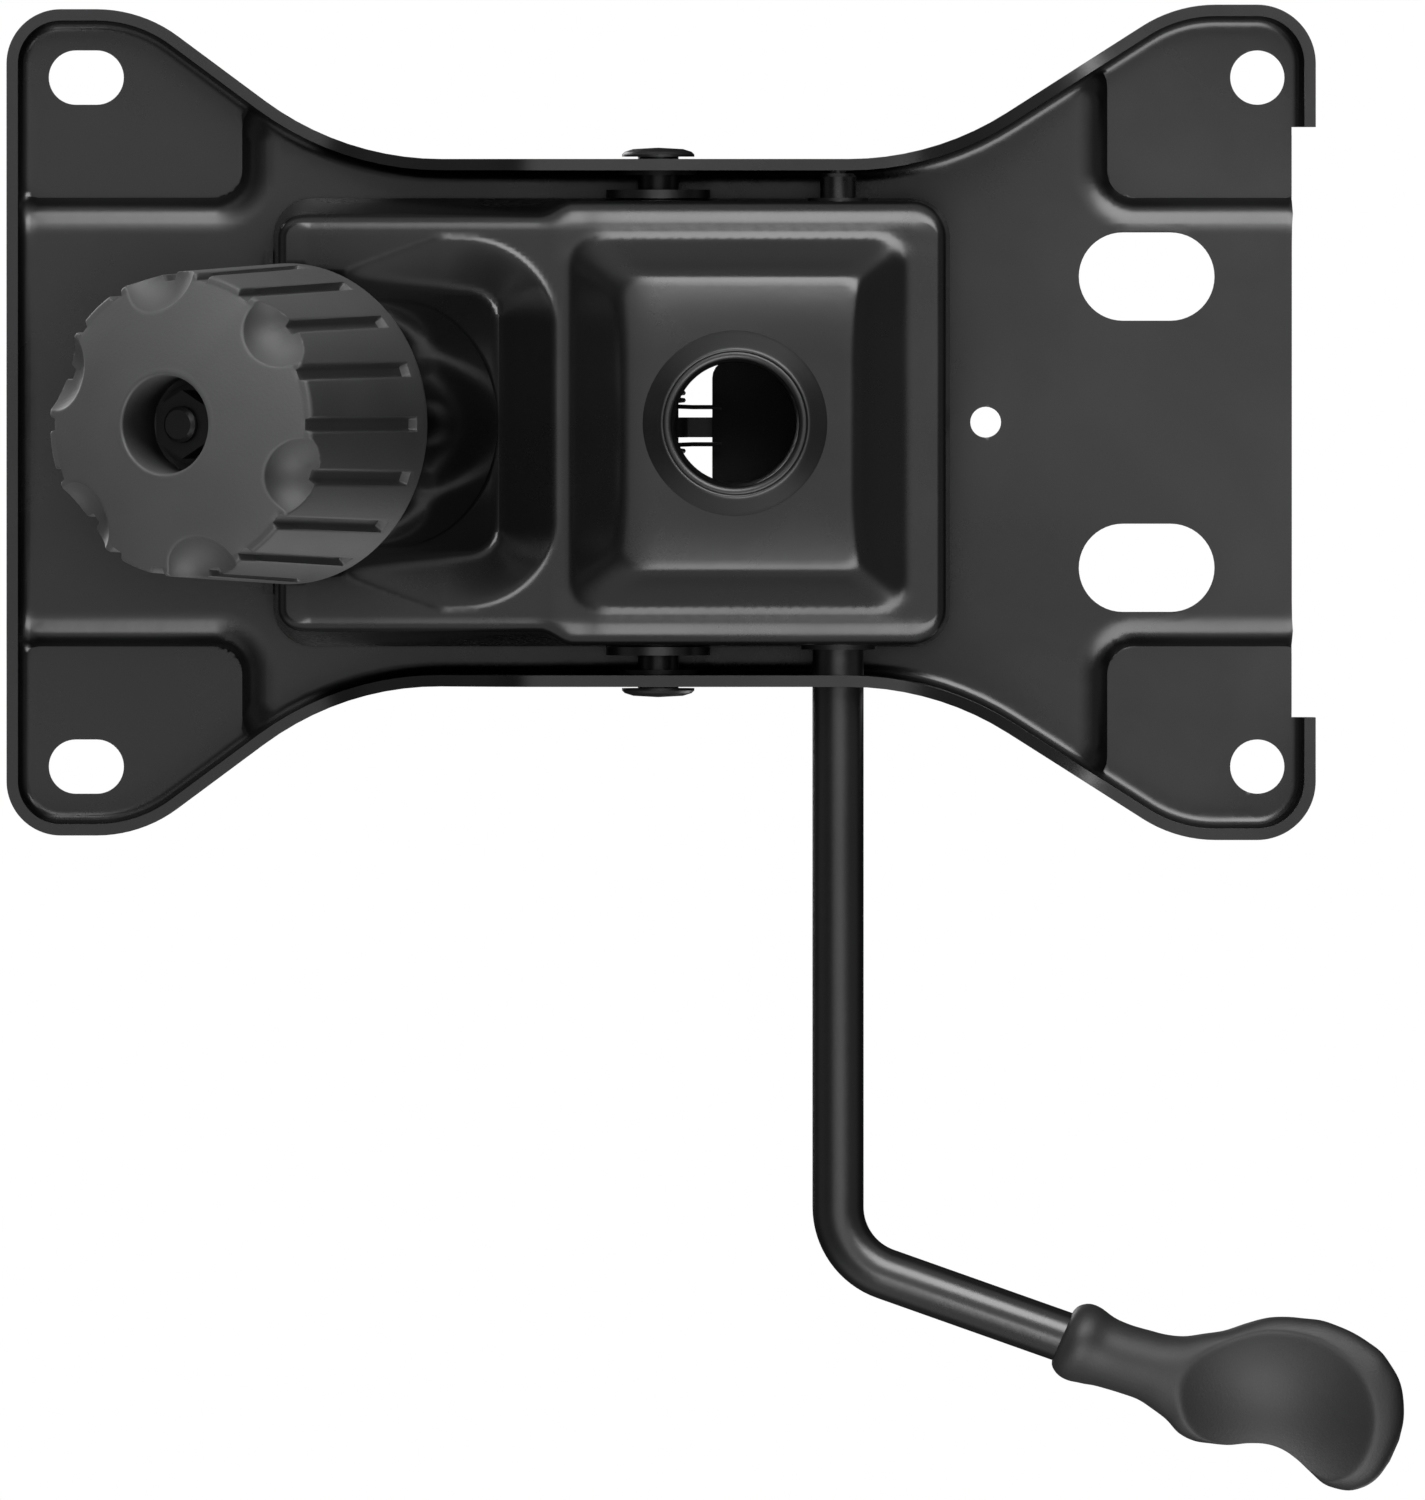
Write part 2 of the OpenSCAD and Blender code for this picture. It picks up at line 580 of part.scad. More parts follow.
// Washers between the housing's side walls and the seat's flanges
module axle_washers() color([0.2, 0.2, 0.2]) for (s = [-1, 1]) difference() {
    x = pan_half_w + seat_gap;
    axle_hole(s > 0 ? x : -x - washer_t, s > 0 ? x + washer_t : -x, washer_d);
    axle_hole(-far / 2, far / 2, axle_d + 2 * seat_gap);
}

module wall_bush(side, body_d, bore_d, flange_d, flange_t) {
    wall_x = pan_half_w - pan_draft * (pan_rim_z - lever_z) / (pan_rim_z - shoulder_z - pan_edge_r);
    difference() {
        union() {
            lever_hole(side > 0 ? wall_x - pan_t - 1.5 : -wall_x - 0.4,
                side > 0 ? wall_x + 0.4 : -wall_x + pan_t + 1.5, body_d);
            lever_hole(side > 0 ? wall_x + 0.4 : -wall_x - 0.4 - flange_t,
                side > 0 ? wall_x + 0.4 + flange_t : -wall_x - 0.4, flange_d);
        }
        lever_hole(-far / 2, far / 2, bore_d);
    }
}
module lever_bush_near() color([0.12, 0.12, 0.12])
    wall_bush(-1, near_bush_d, rod_d + 2 * running_fit, near_bush_d + 2.2, 1.2);
module lever_bush_far() color([0.12, 0.12, 0.12])
    wall_bush(1, far_bush_d, tip_d + 2 * running_fit, far_bush_d + 2.4, 0.8);

// Rubber caps on the front rim, which the seat plate rests on
module front_bumpers() color([0.08, 0.08, 0.08]) for (s = [-1, 1]) {
    top = plate_z - body_gap * 0.6;
    wall = 2;
    difference() {
        translate([s * bumper_x - bumper_w / 2, -pan_front - wall, pan_rim_z - bumper_grip])
            cube([bumper_w, pan_t + 2 * wall + 0.3, top - pan_rim_z + bumper_grip]);
        translate([s * bumper_x - bumper_w / 2 - cut, -pan_front - 2 * seat_gap, pan_rim_z - bumper_grip - cut])
            cube([bumper_w + 2 * cut, pan_t + 10 * seat_gap, bumper_grip + cut + seat_gap]);
    }
}

// Tube that guides the tension spring and stands on the sloped seat
module spring_sleeve() color([0.09, 0.09, 0.1]) on_adjuster() {
    gap = seat_gap;
    difference() {
        translate([0, 0, -sleeve_len]) cylinder(d = sleeve_d, h = sleeve_len - gap, $fn = 96);
        translate([0, 0, -sleeve_len - cut]) cylinder(d = sleeve_d - 4, h = sleeve_len + 2 * cut, $fn = 96);
    }
}

// Cupped washer between the spring and the housing
module spring_seat() color([0.35, 0.35, 0.36]) on_adjuster() difference() {
    union() {
        translate([0, 0, -2]) cylinder(d = sleeve_d - 4.6, h = 2 - seat_gap);
        translate([0, 0, -6]) cylinder(d = coil_hub_d, h = 5);
    }
    translate([0, 0, -7]) cylinder(d = bolt_d + 3, h = 8);
}

// Helix of a spring with rings of eight to a turn: pairs of a point and its outward direction
function helix(r, z0, z1, turns, from = 0) = [for (k = [0:8 * turns])
    let (w = from + 45 * k, d = [cos(w), sin(w), 0])
    [r * d + [0, 0, z0 + (z1 - z0) * k / (8 * turns)], d]];

tension_path = helix(spring_d / 2 - spring_wire / 2, -spring_start - spring_wire / 2 - seat_gap * 8,
    -spring_end + spring_wire / 2 + seat_gap * 8, spring_turns);
module tension_spring() color([0.3, 0.3, 0.32]) on_adjuster()
    loft(tube_rings([for (i = [len(tension_path) - 1:-1:0]) tension_path[i]], spring_wire / 2, 6));
echo(tension_spring_gap = (spring_end - spring_start - spring_wire - 16 * seat_gap) / spring_turns - spring_wire);

// Double torsion spring that lifts the paddle: two coils round the axle, each with a leg
coil_turns = 3;
coil_pitch = coil_wire + 0.5;
function coil_group(side) = let (x0 = side > 0 ? 3.4 : -4.8)
    concat(
        [for (y = [paddle_front + 9, coil_r + 2]) [[x0, -axle_front + y, axle_z - coil_r], [0, 0, -1]]],
        [for (k = [0:8 * coil_turns]) let (w = -90 - 45 * k, d = [0, cos(w), sin(w)])
            [[x0 + side * (0.3 + coil_pitch * k / 8), -axle_front, axle_z] + coil_r * d, d]]);
module return_spring() color([0.4, 0.4, 0.42]) for (s = [-1, 1])
    loft(tube_rings(coil_group(s), coil_wire / 2, 6));
echo(return_spring_gap = coil_pitch - coil_wire);

// Plastic spacer between the coils, with the tongue that stops the paddle
module spring_spacer() color([0.12, 0.12, 0.12]) difference() {
    union() {
        axle_hole(-3.3, 1.1, axle_d + 4);
        translate([-3.3, -axle_front, paddle_z + paddle_t + body_gap]) cube([4.4, 15, 2]);
    }
    axle_hole(-far / 2, far / 2, axle_d + 2 * seat_gap);
}

// Bolt, cap and knob

module tension_bolt() color([0.42, 0.42, 0.43]) {
    on_adjuster() translate([0, 0, -bolt_end]) union() {
        translate([0, 0, 0.8]) cylinder(d = bolt_d, h = bolt_end + bar_reach - 0.8);
        cylinder(d1 = bolt_d - 1.6, d2 = bolt_d, h = 0.8);
    }
    x_cylinder(-bar_len / 2, bar_len / 2, bar_d, bar_y, bar_z);
}

module spring_cap() color([0.35, 0.35, 0.36]) on_adjuster() difference() {
    union() {
        translate([0, 0, -spring_end - cap_t]) cylinder(d = spring_d + 1, h = cap_t - seat_gap);
        translate([0, 0, -spring_end - 0.5]) cylinder(d = coil_hub_d, h = 5);
    }
    translate([0, 0, -spring_end - cap_t - cut]) cylinder(d = bolt_d + 2 * running_fit, h = cap_t + 8);
}

knob_end = knob_start + knob_len;
crown_r = (pow(knob_face_d / 2 - 1.5, 2) + pow(knob_crown, 2)) / (2 * knob_crown);
recess_z = knob_web_z + knob_web_t;

// Section of the knob, with x as its radius and y along its axis, the face below
module knob_section() {
    edge = knob_face_d / 2 - 1.5;
    crown = [for (k = [0:8]) let (x = knob_recess_d / 2 + (edge - knob_recess_d / 2) * k / 8)
        [x, -knob_end - knob_crown + crown_r - sqrt(crown_r * crown_r - x * x)]];
    round_edge = [for (w = [-60:30:0]) [edge + 1.5 * cos(w), -knob_end + 1.3 + 1.5 * sin(w)]];
    polygon(concat([[bolt_d / 2 + running_fit, -recess_z], [knob_recess_d / 2, -recess_z]], crown, round_edge,
        [[knob_rim_d / 2, -knob_start - 1], [knob_rim_d / 2 - 1, -knob_start],
         [knob_cavity_r + 0.6, -knob_start], [knob_cavity_r, -knob_start - 0.6],
         [knob_cavity_r, -knob_web_z + 3], [knob_cavity_r - 3, -knob_web_z],
         [bolt_d / 2 + running_fit, -knob_web_z]]));
}

module tension_knob() color([0.2, 0.2, 0.2]) on_adjuster() difference() {
    rotate_extrude($fn = 96) knob_section();
    // Grooves run out of the face and stop short of the rim
    taper = atan((knob_rim_d - knob_face_d) / 2 / knob_len);
    for (k = [0:groove_count - 1]) rotate(360 * (k + 0.5) / groove_count)
        translate([knob_face_d / 2 + 0.3, 0, -knob_end - 2]) rotate([0, taper, 0])
            translate([-2, -1.5, 0]) cube([6, 3, knob_len - 6]);
    for (k = [0:scallop_count - 1]) rotate(360 * (k + 0.84) / scallop_count)
        translate([knob_face_d / 2 + 2, 0, -knob_end - 4.5]) sphere(r = 10.5);
}

module hexagon_nut(z, af, h) translate([0, 0, z]) cylinder(d = af / cos(30), h = h, $fn = 6);
module knob_nut() color([0.45, 0.45, 0.46]) on_adjuster() difference() {
    union() {
        hexagon_nut(-recess_z - nut_h, nut_af, nut_h - seat_gap);
        translate([0, 0, -recess_z - 1.6]) cylinder(d = nut_af + 5, h = 1.6 - seat_gap);
    }
    translate([0, 0, -recess_z - nut_h - cut]) cylinder(d = bolt_d + 2 * running_fit, h = nut_h + 2 * cut);
}

// Lever

// U-shaped lever that turns with the rod and presses the gas lift's button
module actuator_paddle() color([0.15, 0.15, 0.16]) difference() {
    union() {
        for (s = [-1, 1]) translate([s > 0 ? ear_x : -ear_x - ear_t, 0, 0]) rotate([90, 0, 90])
            linear_extrude(ear_t) difference() {
                hull() {
                    translate([lever_y, lever_z]) circle(r = hub_r);
                    for (y = [paddle_front + paddle_edge_r, lever_y - cut])
                        translate([y, paddle_z + paddle_t - paddle_edge_r]) circle(r = paddle_edge_r);
                }
                translate([lever_y, lever_z]) circle(r = rod_d / 2 + running_fit);
            }
        translate([-ear_x - cut, paddle_front + paddle_edge_r, paddle_z])
            cube([2 * ear_x + 2 * cut, lever_y - paddle_front - paddle_edge_r - cut, paddle_t]);
        // Tongue over the valve, with rounded front corners
        translate([0, 0, paddle_z]) linear_extrude(paddle_t) polygon(inset(outline([
            [-tongue_near, -paddle_front, tongue_r], [tongue_far, -paddle_front, tongue_r],
            [tongue_far, 3 * paddle_front, 1], [-tongue_near, 3 * paddle_front, 1]]), 0));
    }
    lever_hole(-ear_x - 5, ear_x + 5, rod_d + 2 * running_fit);
}

module lever_rod() color([0.08, 0.08, 0.08]) {
    turn = 90 - bend_out;
    tangent = bend_r * tan(turn / 2);
    straight = bend_x - tangent;
    out = [-sin(bend_out), cos(bend_out), 0];
    bend_start = [-straight, lever_y, lever_z];
    bend_end = [-bend_x, lever_y, lever_z] + tangent * out;
    // The bent stretch starts inside the straight one and is a hair thinner
    path = concat([bend_start + [4, 0, 0], bend_start],
        [for (k = [1:8]) let (w = turn * k / 9) bend_start + bend_r * [-sin(w), 1 - cos(w), 0]],
        [bend_end, bend_end + out * (grip_start + rod_in_grip - tangent)]);
    difference() {
        union() {
            lever_hole(-straight, rod_shoulder_x, rod_d);
            lever_hole(rod_shoulder_x - 4, tip_end_x - 0.8, tip_d);
            translate([tip_end_x - 0.8, lever_y, lever_z]) along_x() cylinder(d1 = tip_d, d2 = tip_d - 1.6, h = 0.8);
            lever_hole(tip_end_x - 0.5, tip_end_x + 1.9, 3.5);
            loft(tube_rings([for (p = path) [p, [0, 0, 1]]], rod_d / 2 - 0.02, 32));
        }
        // Groove for the clip inside the housing
        difference() {
            lever_hole(clip_x, clip_x + 1.4, rod_d + 2);
            lever_hole(clip_x - 1, clip_x + 2.4, rod_d - 1.6);
        }
    }
}
clip_x = -wall_inner_x + 2.1;

// Spring clip in the rod's groove, which stops the rod from being pulled out
module rod_clip() color([0.3, 0.3, 0.3]) difference() {
    lever_hole(clip_x + 0.1, clip_x + 1.3, rod_d + 4.5);
    lever_hole(clip_x - 1, clip_x + 3, rod_d - 1.6 + 2 * seat_gap);
    translate([clip_x - 1, lever_y - 2.5, lever_z - rod_d]) cube([4, 5, rod_d]);
}

// Stations along the grip, as shares of its length: distance, middle and half width. The last number is
// the half thickness as a share of half the paddle's
grip_stations = [[-0.0789, -0.0039, 0.0842, 0.98], [-0.0526, -0.0053, 0.1066, 1.28],
    [-0.0132, -0.0053, 0.1171, 1.36], [0.0329, -0.0039, 0.1105, 1.26], [0.0921, -0.0132, 0.1, 1.12],
    [0.1842, -0.0211, 0.1026, 1.02], [0.2632, -0.0289, 0.1158, 0.96], [0.3421, -0.0382, 0.15, 0.92],
    [0.4211, -0.0645, 0.1868, 0.92], [0.5, -0.1, 0.2039, 0.94], [0.5789, -0.1355, 0.2, 0.95],
    [0.6579, -0.1553, 0.1961, 0.95], [0.7368, -0.1513, 0.2013, 0.94], [0.8158, -0.1316, 0.2092, 0.9],
    [0.8816, -0.1171, 0.2, 0.82], [0.9342, -0.1039, 0.1697, 0.7], [0.9737, -0.0921, 0.1224, 0.52],
    [1, -0.0882, 0.0605, 0.28]];
// The hollow of the paddle fades in over the middle of the grip and out at its tip
function hollow(share) = grip_hollow * clamped((share - 0.32) / 0.18) * clamped((1.03 - share) / 0.1);
function clamped(v) = max(0, min(1, v));
// Height on a grip section at an angle round it: the sides are fuller than an ellipse's
function grip_height(w) = sign(sin(w)) * pow(abs(sin(w)), 0.75);

module lever_grip() color([0.17, 0.17, 0.17]) {
    sides = 24;
    lean = 24;
    // The grip's own line starts here on the rod, and leans a little more than the rod
    base = [-bend_x - (grip_start - 2) * sin(bend_out), lever_y + (grip_start - 2) * cos(bend_out), lever_z];
    rings = [for (g = grip_stations)
        [for (j = [sides - 1:-1:0]) let (w = 360 * j / sides, x = cos(w), z = grip_height(w) * grip_t / 2 * g[3])
            [-grip_len * (g[1] + g[2] * grip_width * x), grip_len * g[0],
                z < 0 ? z + hollow(g[0]) * (1 - x * x) : z]]];
    difference() {
        translate(base) rotate([0, 0, lean]) loft(rings);
        translate([-bend_x, lever_y, lever_z]) rotate([0, 0, bend_out]) rotate([-90, 0, 0])
            cylinder(d = rod_d + 2 * seat_gap, h = grip_start + rod_in_grip + seat_gap);
    }
}
rod_in_grip = 16;

housing_pan();
taper_bush();
bush_brace();
pivot_axle();
axle_washers();
lever_bush_near();
lever_bush_far();
front_bumpers();
spring_sleeve();
spring_seat();
tension_spring();
return_spring();
spring_spacer();
seat_plate();
bolt_saddle();
flange_bushes();
tension_bolt();
spring_cap();
tension_knob();
knob_nut();
actuator_paddle();
lever_rod();
rod_clip();
lever_grip();
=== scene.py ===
# Office chair tilt mechanism seen from below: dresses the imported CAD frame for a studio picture.
import bisect
import math
import bmesh
import bpy
from mathutils import Matrix, Vector
from mathutils.kdtree import KDTree


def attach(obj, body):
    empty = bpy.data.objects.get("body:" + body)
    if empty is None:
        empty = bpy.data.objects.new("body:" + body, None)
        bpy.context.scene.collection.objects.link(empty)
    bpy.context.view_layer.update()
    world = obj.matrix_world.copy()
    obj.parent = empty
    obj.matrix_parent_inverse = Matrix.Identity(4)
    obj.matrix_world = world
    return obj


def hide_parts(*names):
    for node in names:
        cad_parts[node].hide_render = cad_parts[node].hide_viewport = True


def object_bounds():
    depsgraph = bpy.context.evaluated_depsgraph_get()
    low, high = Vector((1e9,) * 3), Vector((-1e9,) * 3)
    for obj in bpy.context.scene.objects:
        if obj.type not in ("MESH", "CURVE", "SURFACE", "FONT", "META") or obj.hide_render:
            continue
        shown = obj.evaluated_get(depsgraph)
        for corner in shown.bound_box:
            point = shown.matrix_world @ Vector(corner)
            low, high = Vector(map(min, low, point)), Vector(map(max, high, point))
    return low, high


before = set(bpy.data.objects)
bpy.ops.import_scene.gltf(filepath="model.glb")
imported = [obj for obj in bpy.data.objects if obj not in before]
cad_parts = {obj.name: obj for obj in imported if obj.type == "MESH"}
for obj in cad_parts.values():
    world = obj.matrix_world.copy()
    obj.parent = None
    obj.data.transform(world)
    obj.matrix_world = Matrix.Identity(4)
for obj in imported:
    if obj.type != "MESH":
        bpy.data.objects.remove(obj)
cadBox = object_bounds()
mm = 0.001
sharpAngle = math.radians(46)
print("frame loaded:", len(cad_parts), "nodes")


# Number helpers
def clamp(v, lo=0.0, hi=1.0):
    return max(lo, min(hi, v))


def smoothStep(a, b, v):
    t = clamp((v - a) / (b - a))
    return t * t * (3 - 2 * t)


def smoothMin(a, b, k):
    h = clamp(0.5 + 0.5 * (b - a) / k)
    return b + (a - b) * h - k * h * (1 - h)


def smoothMax(a, b, k):
    return -smoothMin(-a, -b, k)


def blendTo(a, b, t):
    return a + (b - a) * t


# Outline helpers, all in millimetres
def roundedOutline(corners, arcStep=5.0, spacing=2.0):  # points and outward directions, counterclockwise
    found = []
    count = len(corners)
    for i, (px, py, r) in enumerate(corners):
        p = Vector((px, py))
        a = Vector(corners[i - 1][:2])
        b = Vector(corners[(i + 1) % count][:2])
        u, v = (a - p).normalized(), (b - p).normalized()
        half = math.acos(clamp(u.dot(v), -1, 1)) / 2
        side = 1 if v.x * u.y - v.y * u.x > 0 else -1
        middle = p + (u + v).normalized() * r / math.sin(half)
        start = p + u * r / math.tan(half) - middle
        first = math.atan2(start.y, start.x)
        sweep = side * (math.pi - 2 * half)
        steps = max(2, math.ceil(abs(math.degrees(sweep)) / arcStep))
        for k in range(steps + 1):
            w = first + sweep * k / steps
            d = Vector((math.cos(w), math.sin(w)))
            found.append((middle + r * d, side * d))
    full = []
    for i, (p, n) in enumerate(found):  # fills the straights with evenly spaced points
        q, m = found[(i + 1) % len(found)]
        parts = max(1, round((q - p).length / spacing)) if (q - p).length > 1.6 * spacing else 1
        for k in range(parts):
            full.append((p.lerp(q, k / parts), n.lerp(m, k / parts).normalized()))
    return full


def circlePoints(x, y, rx, ry=None, count=48):
    ry = rx if ry is None else ry
    return [Vector((x + rx * math.cos(2 * math.pi * k / count), y + ry * math.sin(2 * math.pi * k / count)))
            for k in range(count)]


def slotPoints(x, y, length, width, count=24):  # slot along Y
    found = []
    for s, first in ((1, 0), (-1, math.pi)):
        for k in range(count + 1):
            w = first + math.pi * k / count
            found.append(Vector((x + width / 2 * math.cos(w),
                                 y + s * (length - width) / 2 + width / 2 * math.sin(w))))
    return found


# Mesh helpers
def addLoop(bm, points):  # a closed ring of edges
    verts = [bm.verts.new((p.x, p.y, 0)) for p in points]
    return [bm.edges.new((verts[i - 1], verts[i])) for i in range(len(verts))]


def insideSpans(loops, x):  # heights at which a line along Y crosses the loops
    found = []
    for points in loops:
        for i, b in enumerate(points):
            a = points[i - 1]
            if (a.x > x) != (b.x > x):
                found.append(a.y + (b.y - a.y) * (x - a.x) / (b.x - a.x))
    return sorted(found)


def newOf(kind, made):  # the verts or edges among what an operator made
    return [g for g in made["geom"] if isinstance(g, kind)]


def growRing(bm, edges):  # extrudes a ring of edges in place, gives the new verts and the new ring
    made = bmesh.ops.extrude_edge_only(bm, edges=edges)
    verts = newOf(bmesh.types.BMVert, made)
    known = set(verts)
    return verts, [e for e in newOf(bmesh.types.BMEdge, made) if all(v in known for v in e.verts)]


def closeUp(bm, edges, dist):  # caps the last ring and cleans the solid
    bmesh.ops.contextual_create(bm, geom=edges)
    bmesh.ops.remove_doubles(bm, verts=bm.verts[:], dist=dist)
    bmesh.ops.recalc_face_normals(bm, faces=bm.faces[:])


def faceUp(bm):
    for f in bm.faces:
        if f.normal.z < 0:
            f.normal_flip()


def fillSheet(loops, linesX, linesY, margin):  # a flat sheet with holes: a grid inside, joined to the loops
    bm = bmesh.new()
    bmesh.ops.create_grid(bm, x_segments=len(linesX) - 1, y_segments=len(linesY) - 1, size=0.5)
    for v in bm.verts:
        v.co.x = linesX[round((v.co.x + 0.5) * (len(linesX) - 1))]
        v.co.y = linesY[round((v.co.y + 0.5) * (len(linesY) - 1))]
    tree = KDTree(sum(len(points) for points in loops))
    for i, p in enumerate(p for points in loops for p in points):
        tree.insert((p.x, p.y, 0), i)
    tree.balance()
    spans = {x: insideSpans(loops, x + 1e-5) for x in {v.co.x for v in bm.verts}}
    outside = [v for v in bm.verts if bisect.bisect(spans[v.co.x], v.co.y) % 2 == 0
               or tree.find(v.co)[2] < margin]
    bmesh.ops.delete(bm, geom=outside, context="VERTS")
    for _ in range(6):  # verts where two parts of the grid only touch go as well
        pinched = [v for v in bm.verts if not v.link_faces or sum(e.is_boundary for e in v.link_edges) > 2]
        if not pinched:
            break
        bmesh.ops.delete(bm, geom=pinched, context="VERTS")
    edges = [e for e in bm.edges if e.is_boundary]
    for points in loops:
        edges += addLoop(bm, points)
    bmesh.ops.triangle_fill(bm, use_beauty=True, use_dissolve=False, edges=edges, normal=(0, 0, 1))
    faceUp(bm)
    return bm


def gridLines(lo, hi, step):
    count = max(1, round((hi - lo) / step))
    return [lo + (hi - lo) * k / count for k in range(count + 1)]


def thinned(lines, least=0.35):
    kept = []
    for c in sorted(lines):
        if not kept or c - kept[-1] > least:
            kept.append(c)
    return kept


def toMetres(bm):
    bmesh.ops.scale(bm, vec=(mm, mm, mm), verts=bm.verts)


def linkedObject(name, data):
    made = bpy.data.objects.new(name, data)
    bpy.context.scene.collection.objects.link(made)
    return made


def meshObject(name, bm):
    mesh = bpy.data.meshes.new(name)
    bm.to_mesh(mesh)
    bm.free()
    return linkedObject(name, mesh)


def makePiece(name, bm, body, material, replaced):
    piece = meshObject(name, bm)
    piece.data.shade_smooth()
    piece.data.set_sharp_from_angle(angle=sharpAngle)
    piece.data.materials.append(material)
    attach(piece, body)
    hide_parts(replaced)
    return piece


def addModifier(piece, kind, **settings):
    modifier = piece.modifiers.new(kind.title(), kind)
    for key, value in settings.items():
        setattr(modifier, key, value)
    return modifier


def bakeModifiers(piece):  # replaces the mesh by what its modifiers make of it
    graph = bpy.context.evaluated_depsgraph_get()
    made = bpy.data.meshes.new_from_object(piece.evaluated_get(graph))
    piece.modifiers.clear()
    old = piece.data
    piece.data = made
    made.name = old.name
    made.set_sharp_from_angle(angle=sharpAngle)
    bpy.data.meshes.remove(old)


def roundEdges(piece, width):  # rounds the cut edges of a sheet and bakes what was added so far
    addModifier(piece, "BEVEL", width=width * mm, segments=2, limit_method="ANGLE",
                angle_limit=math.radians(52), use_clamp_overlap=True)
    bakeModifiers(piece)


def cutHoles(piece, makeCutter):  # a boolean with one joined cutter
    bm = bmesh.new()
    makeCutter(bm)
    cutter = meshObject("cutter", bm)
    mesh = cutter.data
    addModifier(piece, "BOOLEAN", operation="DIFFERENCE", solver="EXACT", object=cutter)
    bakeModifiers(piece)
    bpy.data.objects.remove(cutter)
    bpy.data.meshes.remove(mesh)


def ontoX(x, y=0.0, z=0.0):  # turns what lies in XY to face along X, and moves it there
    return Matrix.Translation((x, y, z)) @ Matrix.Rotation(math.pi / 2, 4, "Y")


def addRod(bm, x0, x1, y, z, radius):  # a closed cylinder along X, in millimetres
    bmesh.ops.create_cone(bm, cap_ends=True, segments=48, radius1=radius * mm, radius2=radius * mm,
                          depth=(x1 - x0) * mm, matrix=ontoX((x0 + x1) / 2 * mm, y * mm, z * mm))


# Shader helpers
class Value:
    def __init__(self, tree, socket):
        self.tree, self.socket = tree, socket

    def maths(self, operation, *others):
        return self.tree.add("ShaderNodeMath", {"operation": operation}, dict(enumerate((self,) + others)))

    def __add__(self, other):
        return self.maths("ADD", other)

    def __mul__(self, other):
        return self.maths("MULTIPLY", other)

    def __rsub__(self, other):
        return self.tree.add("ShaderNodeMath", {"operation": "SUBTRACT"}, {0: other, 1: self})

    def clamped(self, lo, hi):
        return self.maths("MAXIMUM", lo).maths("MINIMUM", hi)

    def ramp(self, lo, hi, toLo=0.0, toHi=1.0):
        return self.tree.add("ShaderNodeMapRange", {"clamp": True},
                             {"Value": self, "From Min": lo, "From Max": hi, "To Min": toLo, "To Max": toHi})


class Tree:
    def __init__(self, owner):
        owner.use_nodes = True
        self.tree = owner.node_tree
        self.tree.nodes.clear()

    def node(self, kind, settings=None, inputs=None):
        made = self.tree.nodes.new(kind)
        for key, value in (settings or {}).items():
            setattr(made, key, value)
        for key, value in (inputs or {}).items():
            if isinstance(value, Value):
                self.tree.links.new(value.socket, made.inputs[key])
            else:
                made.inputs[key].default_value = value
        return made

    def add(self, kind, settings=None, inputs=None, output=0):
        return Value(self, self.node(kind, settings, inputs).outputs[output])

    def mixColour(self, factor, a, b):
        return self.add("ShaderNodeMix", {"data_type": "RGBA"}, {0: factor, 6: a, 7: b}, 2)

    def noise(self, place, scale, detail=2.0, roughness=0.5, distortion=0.0):
        return self.add("ShaderNodeTexNoise", None, {"Vector": place, "Scale": scale, "Detail": detail,
                                                     "Roughness": roughness, "Distortion": distortion}, "Fac")


def grey(level, tint=0.0):
    return (level * (1 - tint), level, level * (1 + tint), 1.0)


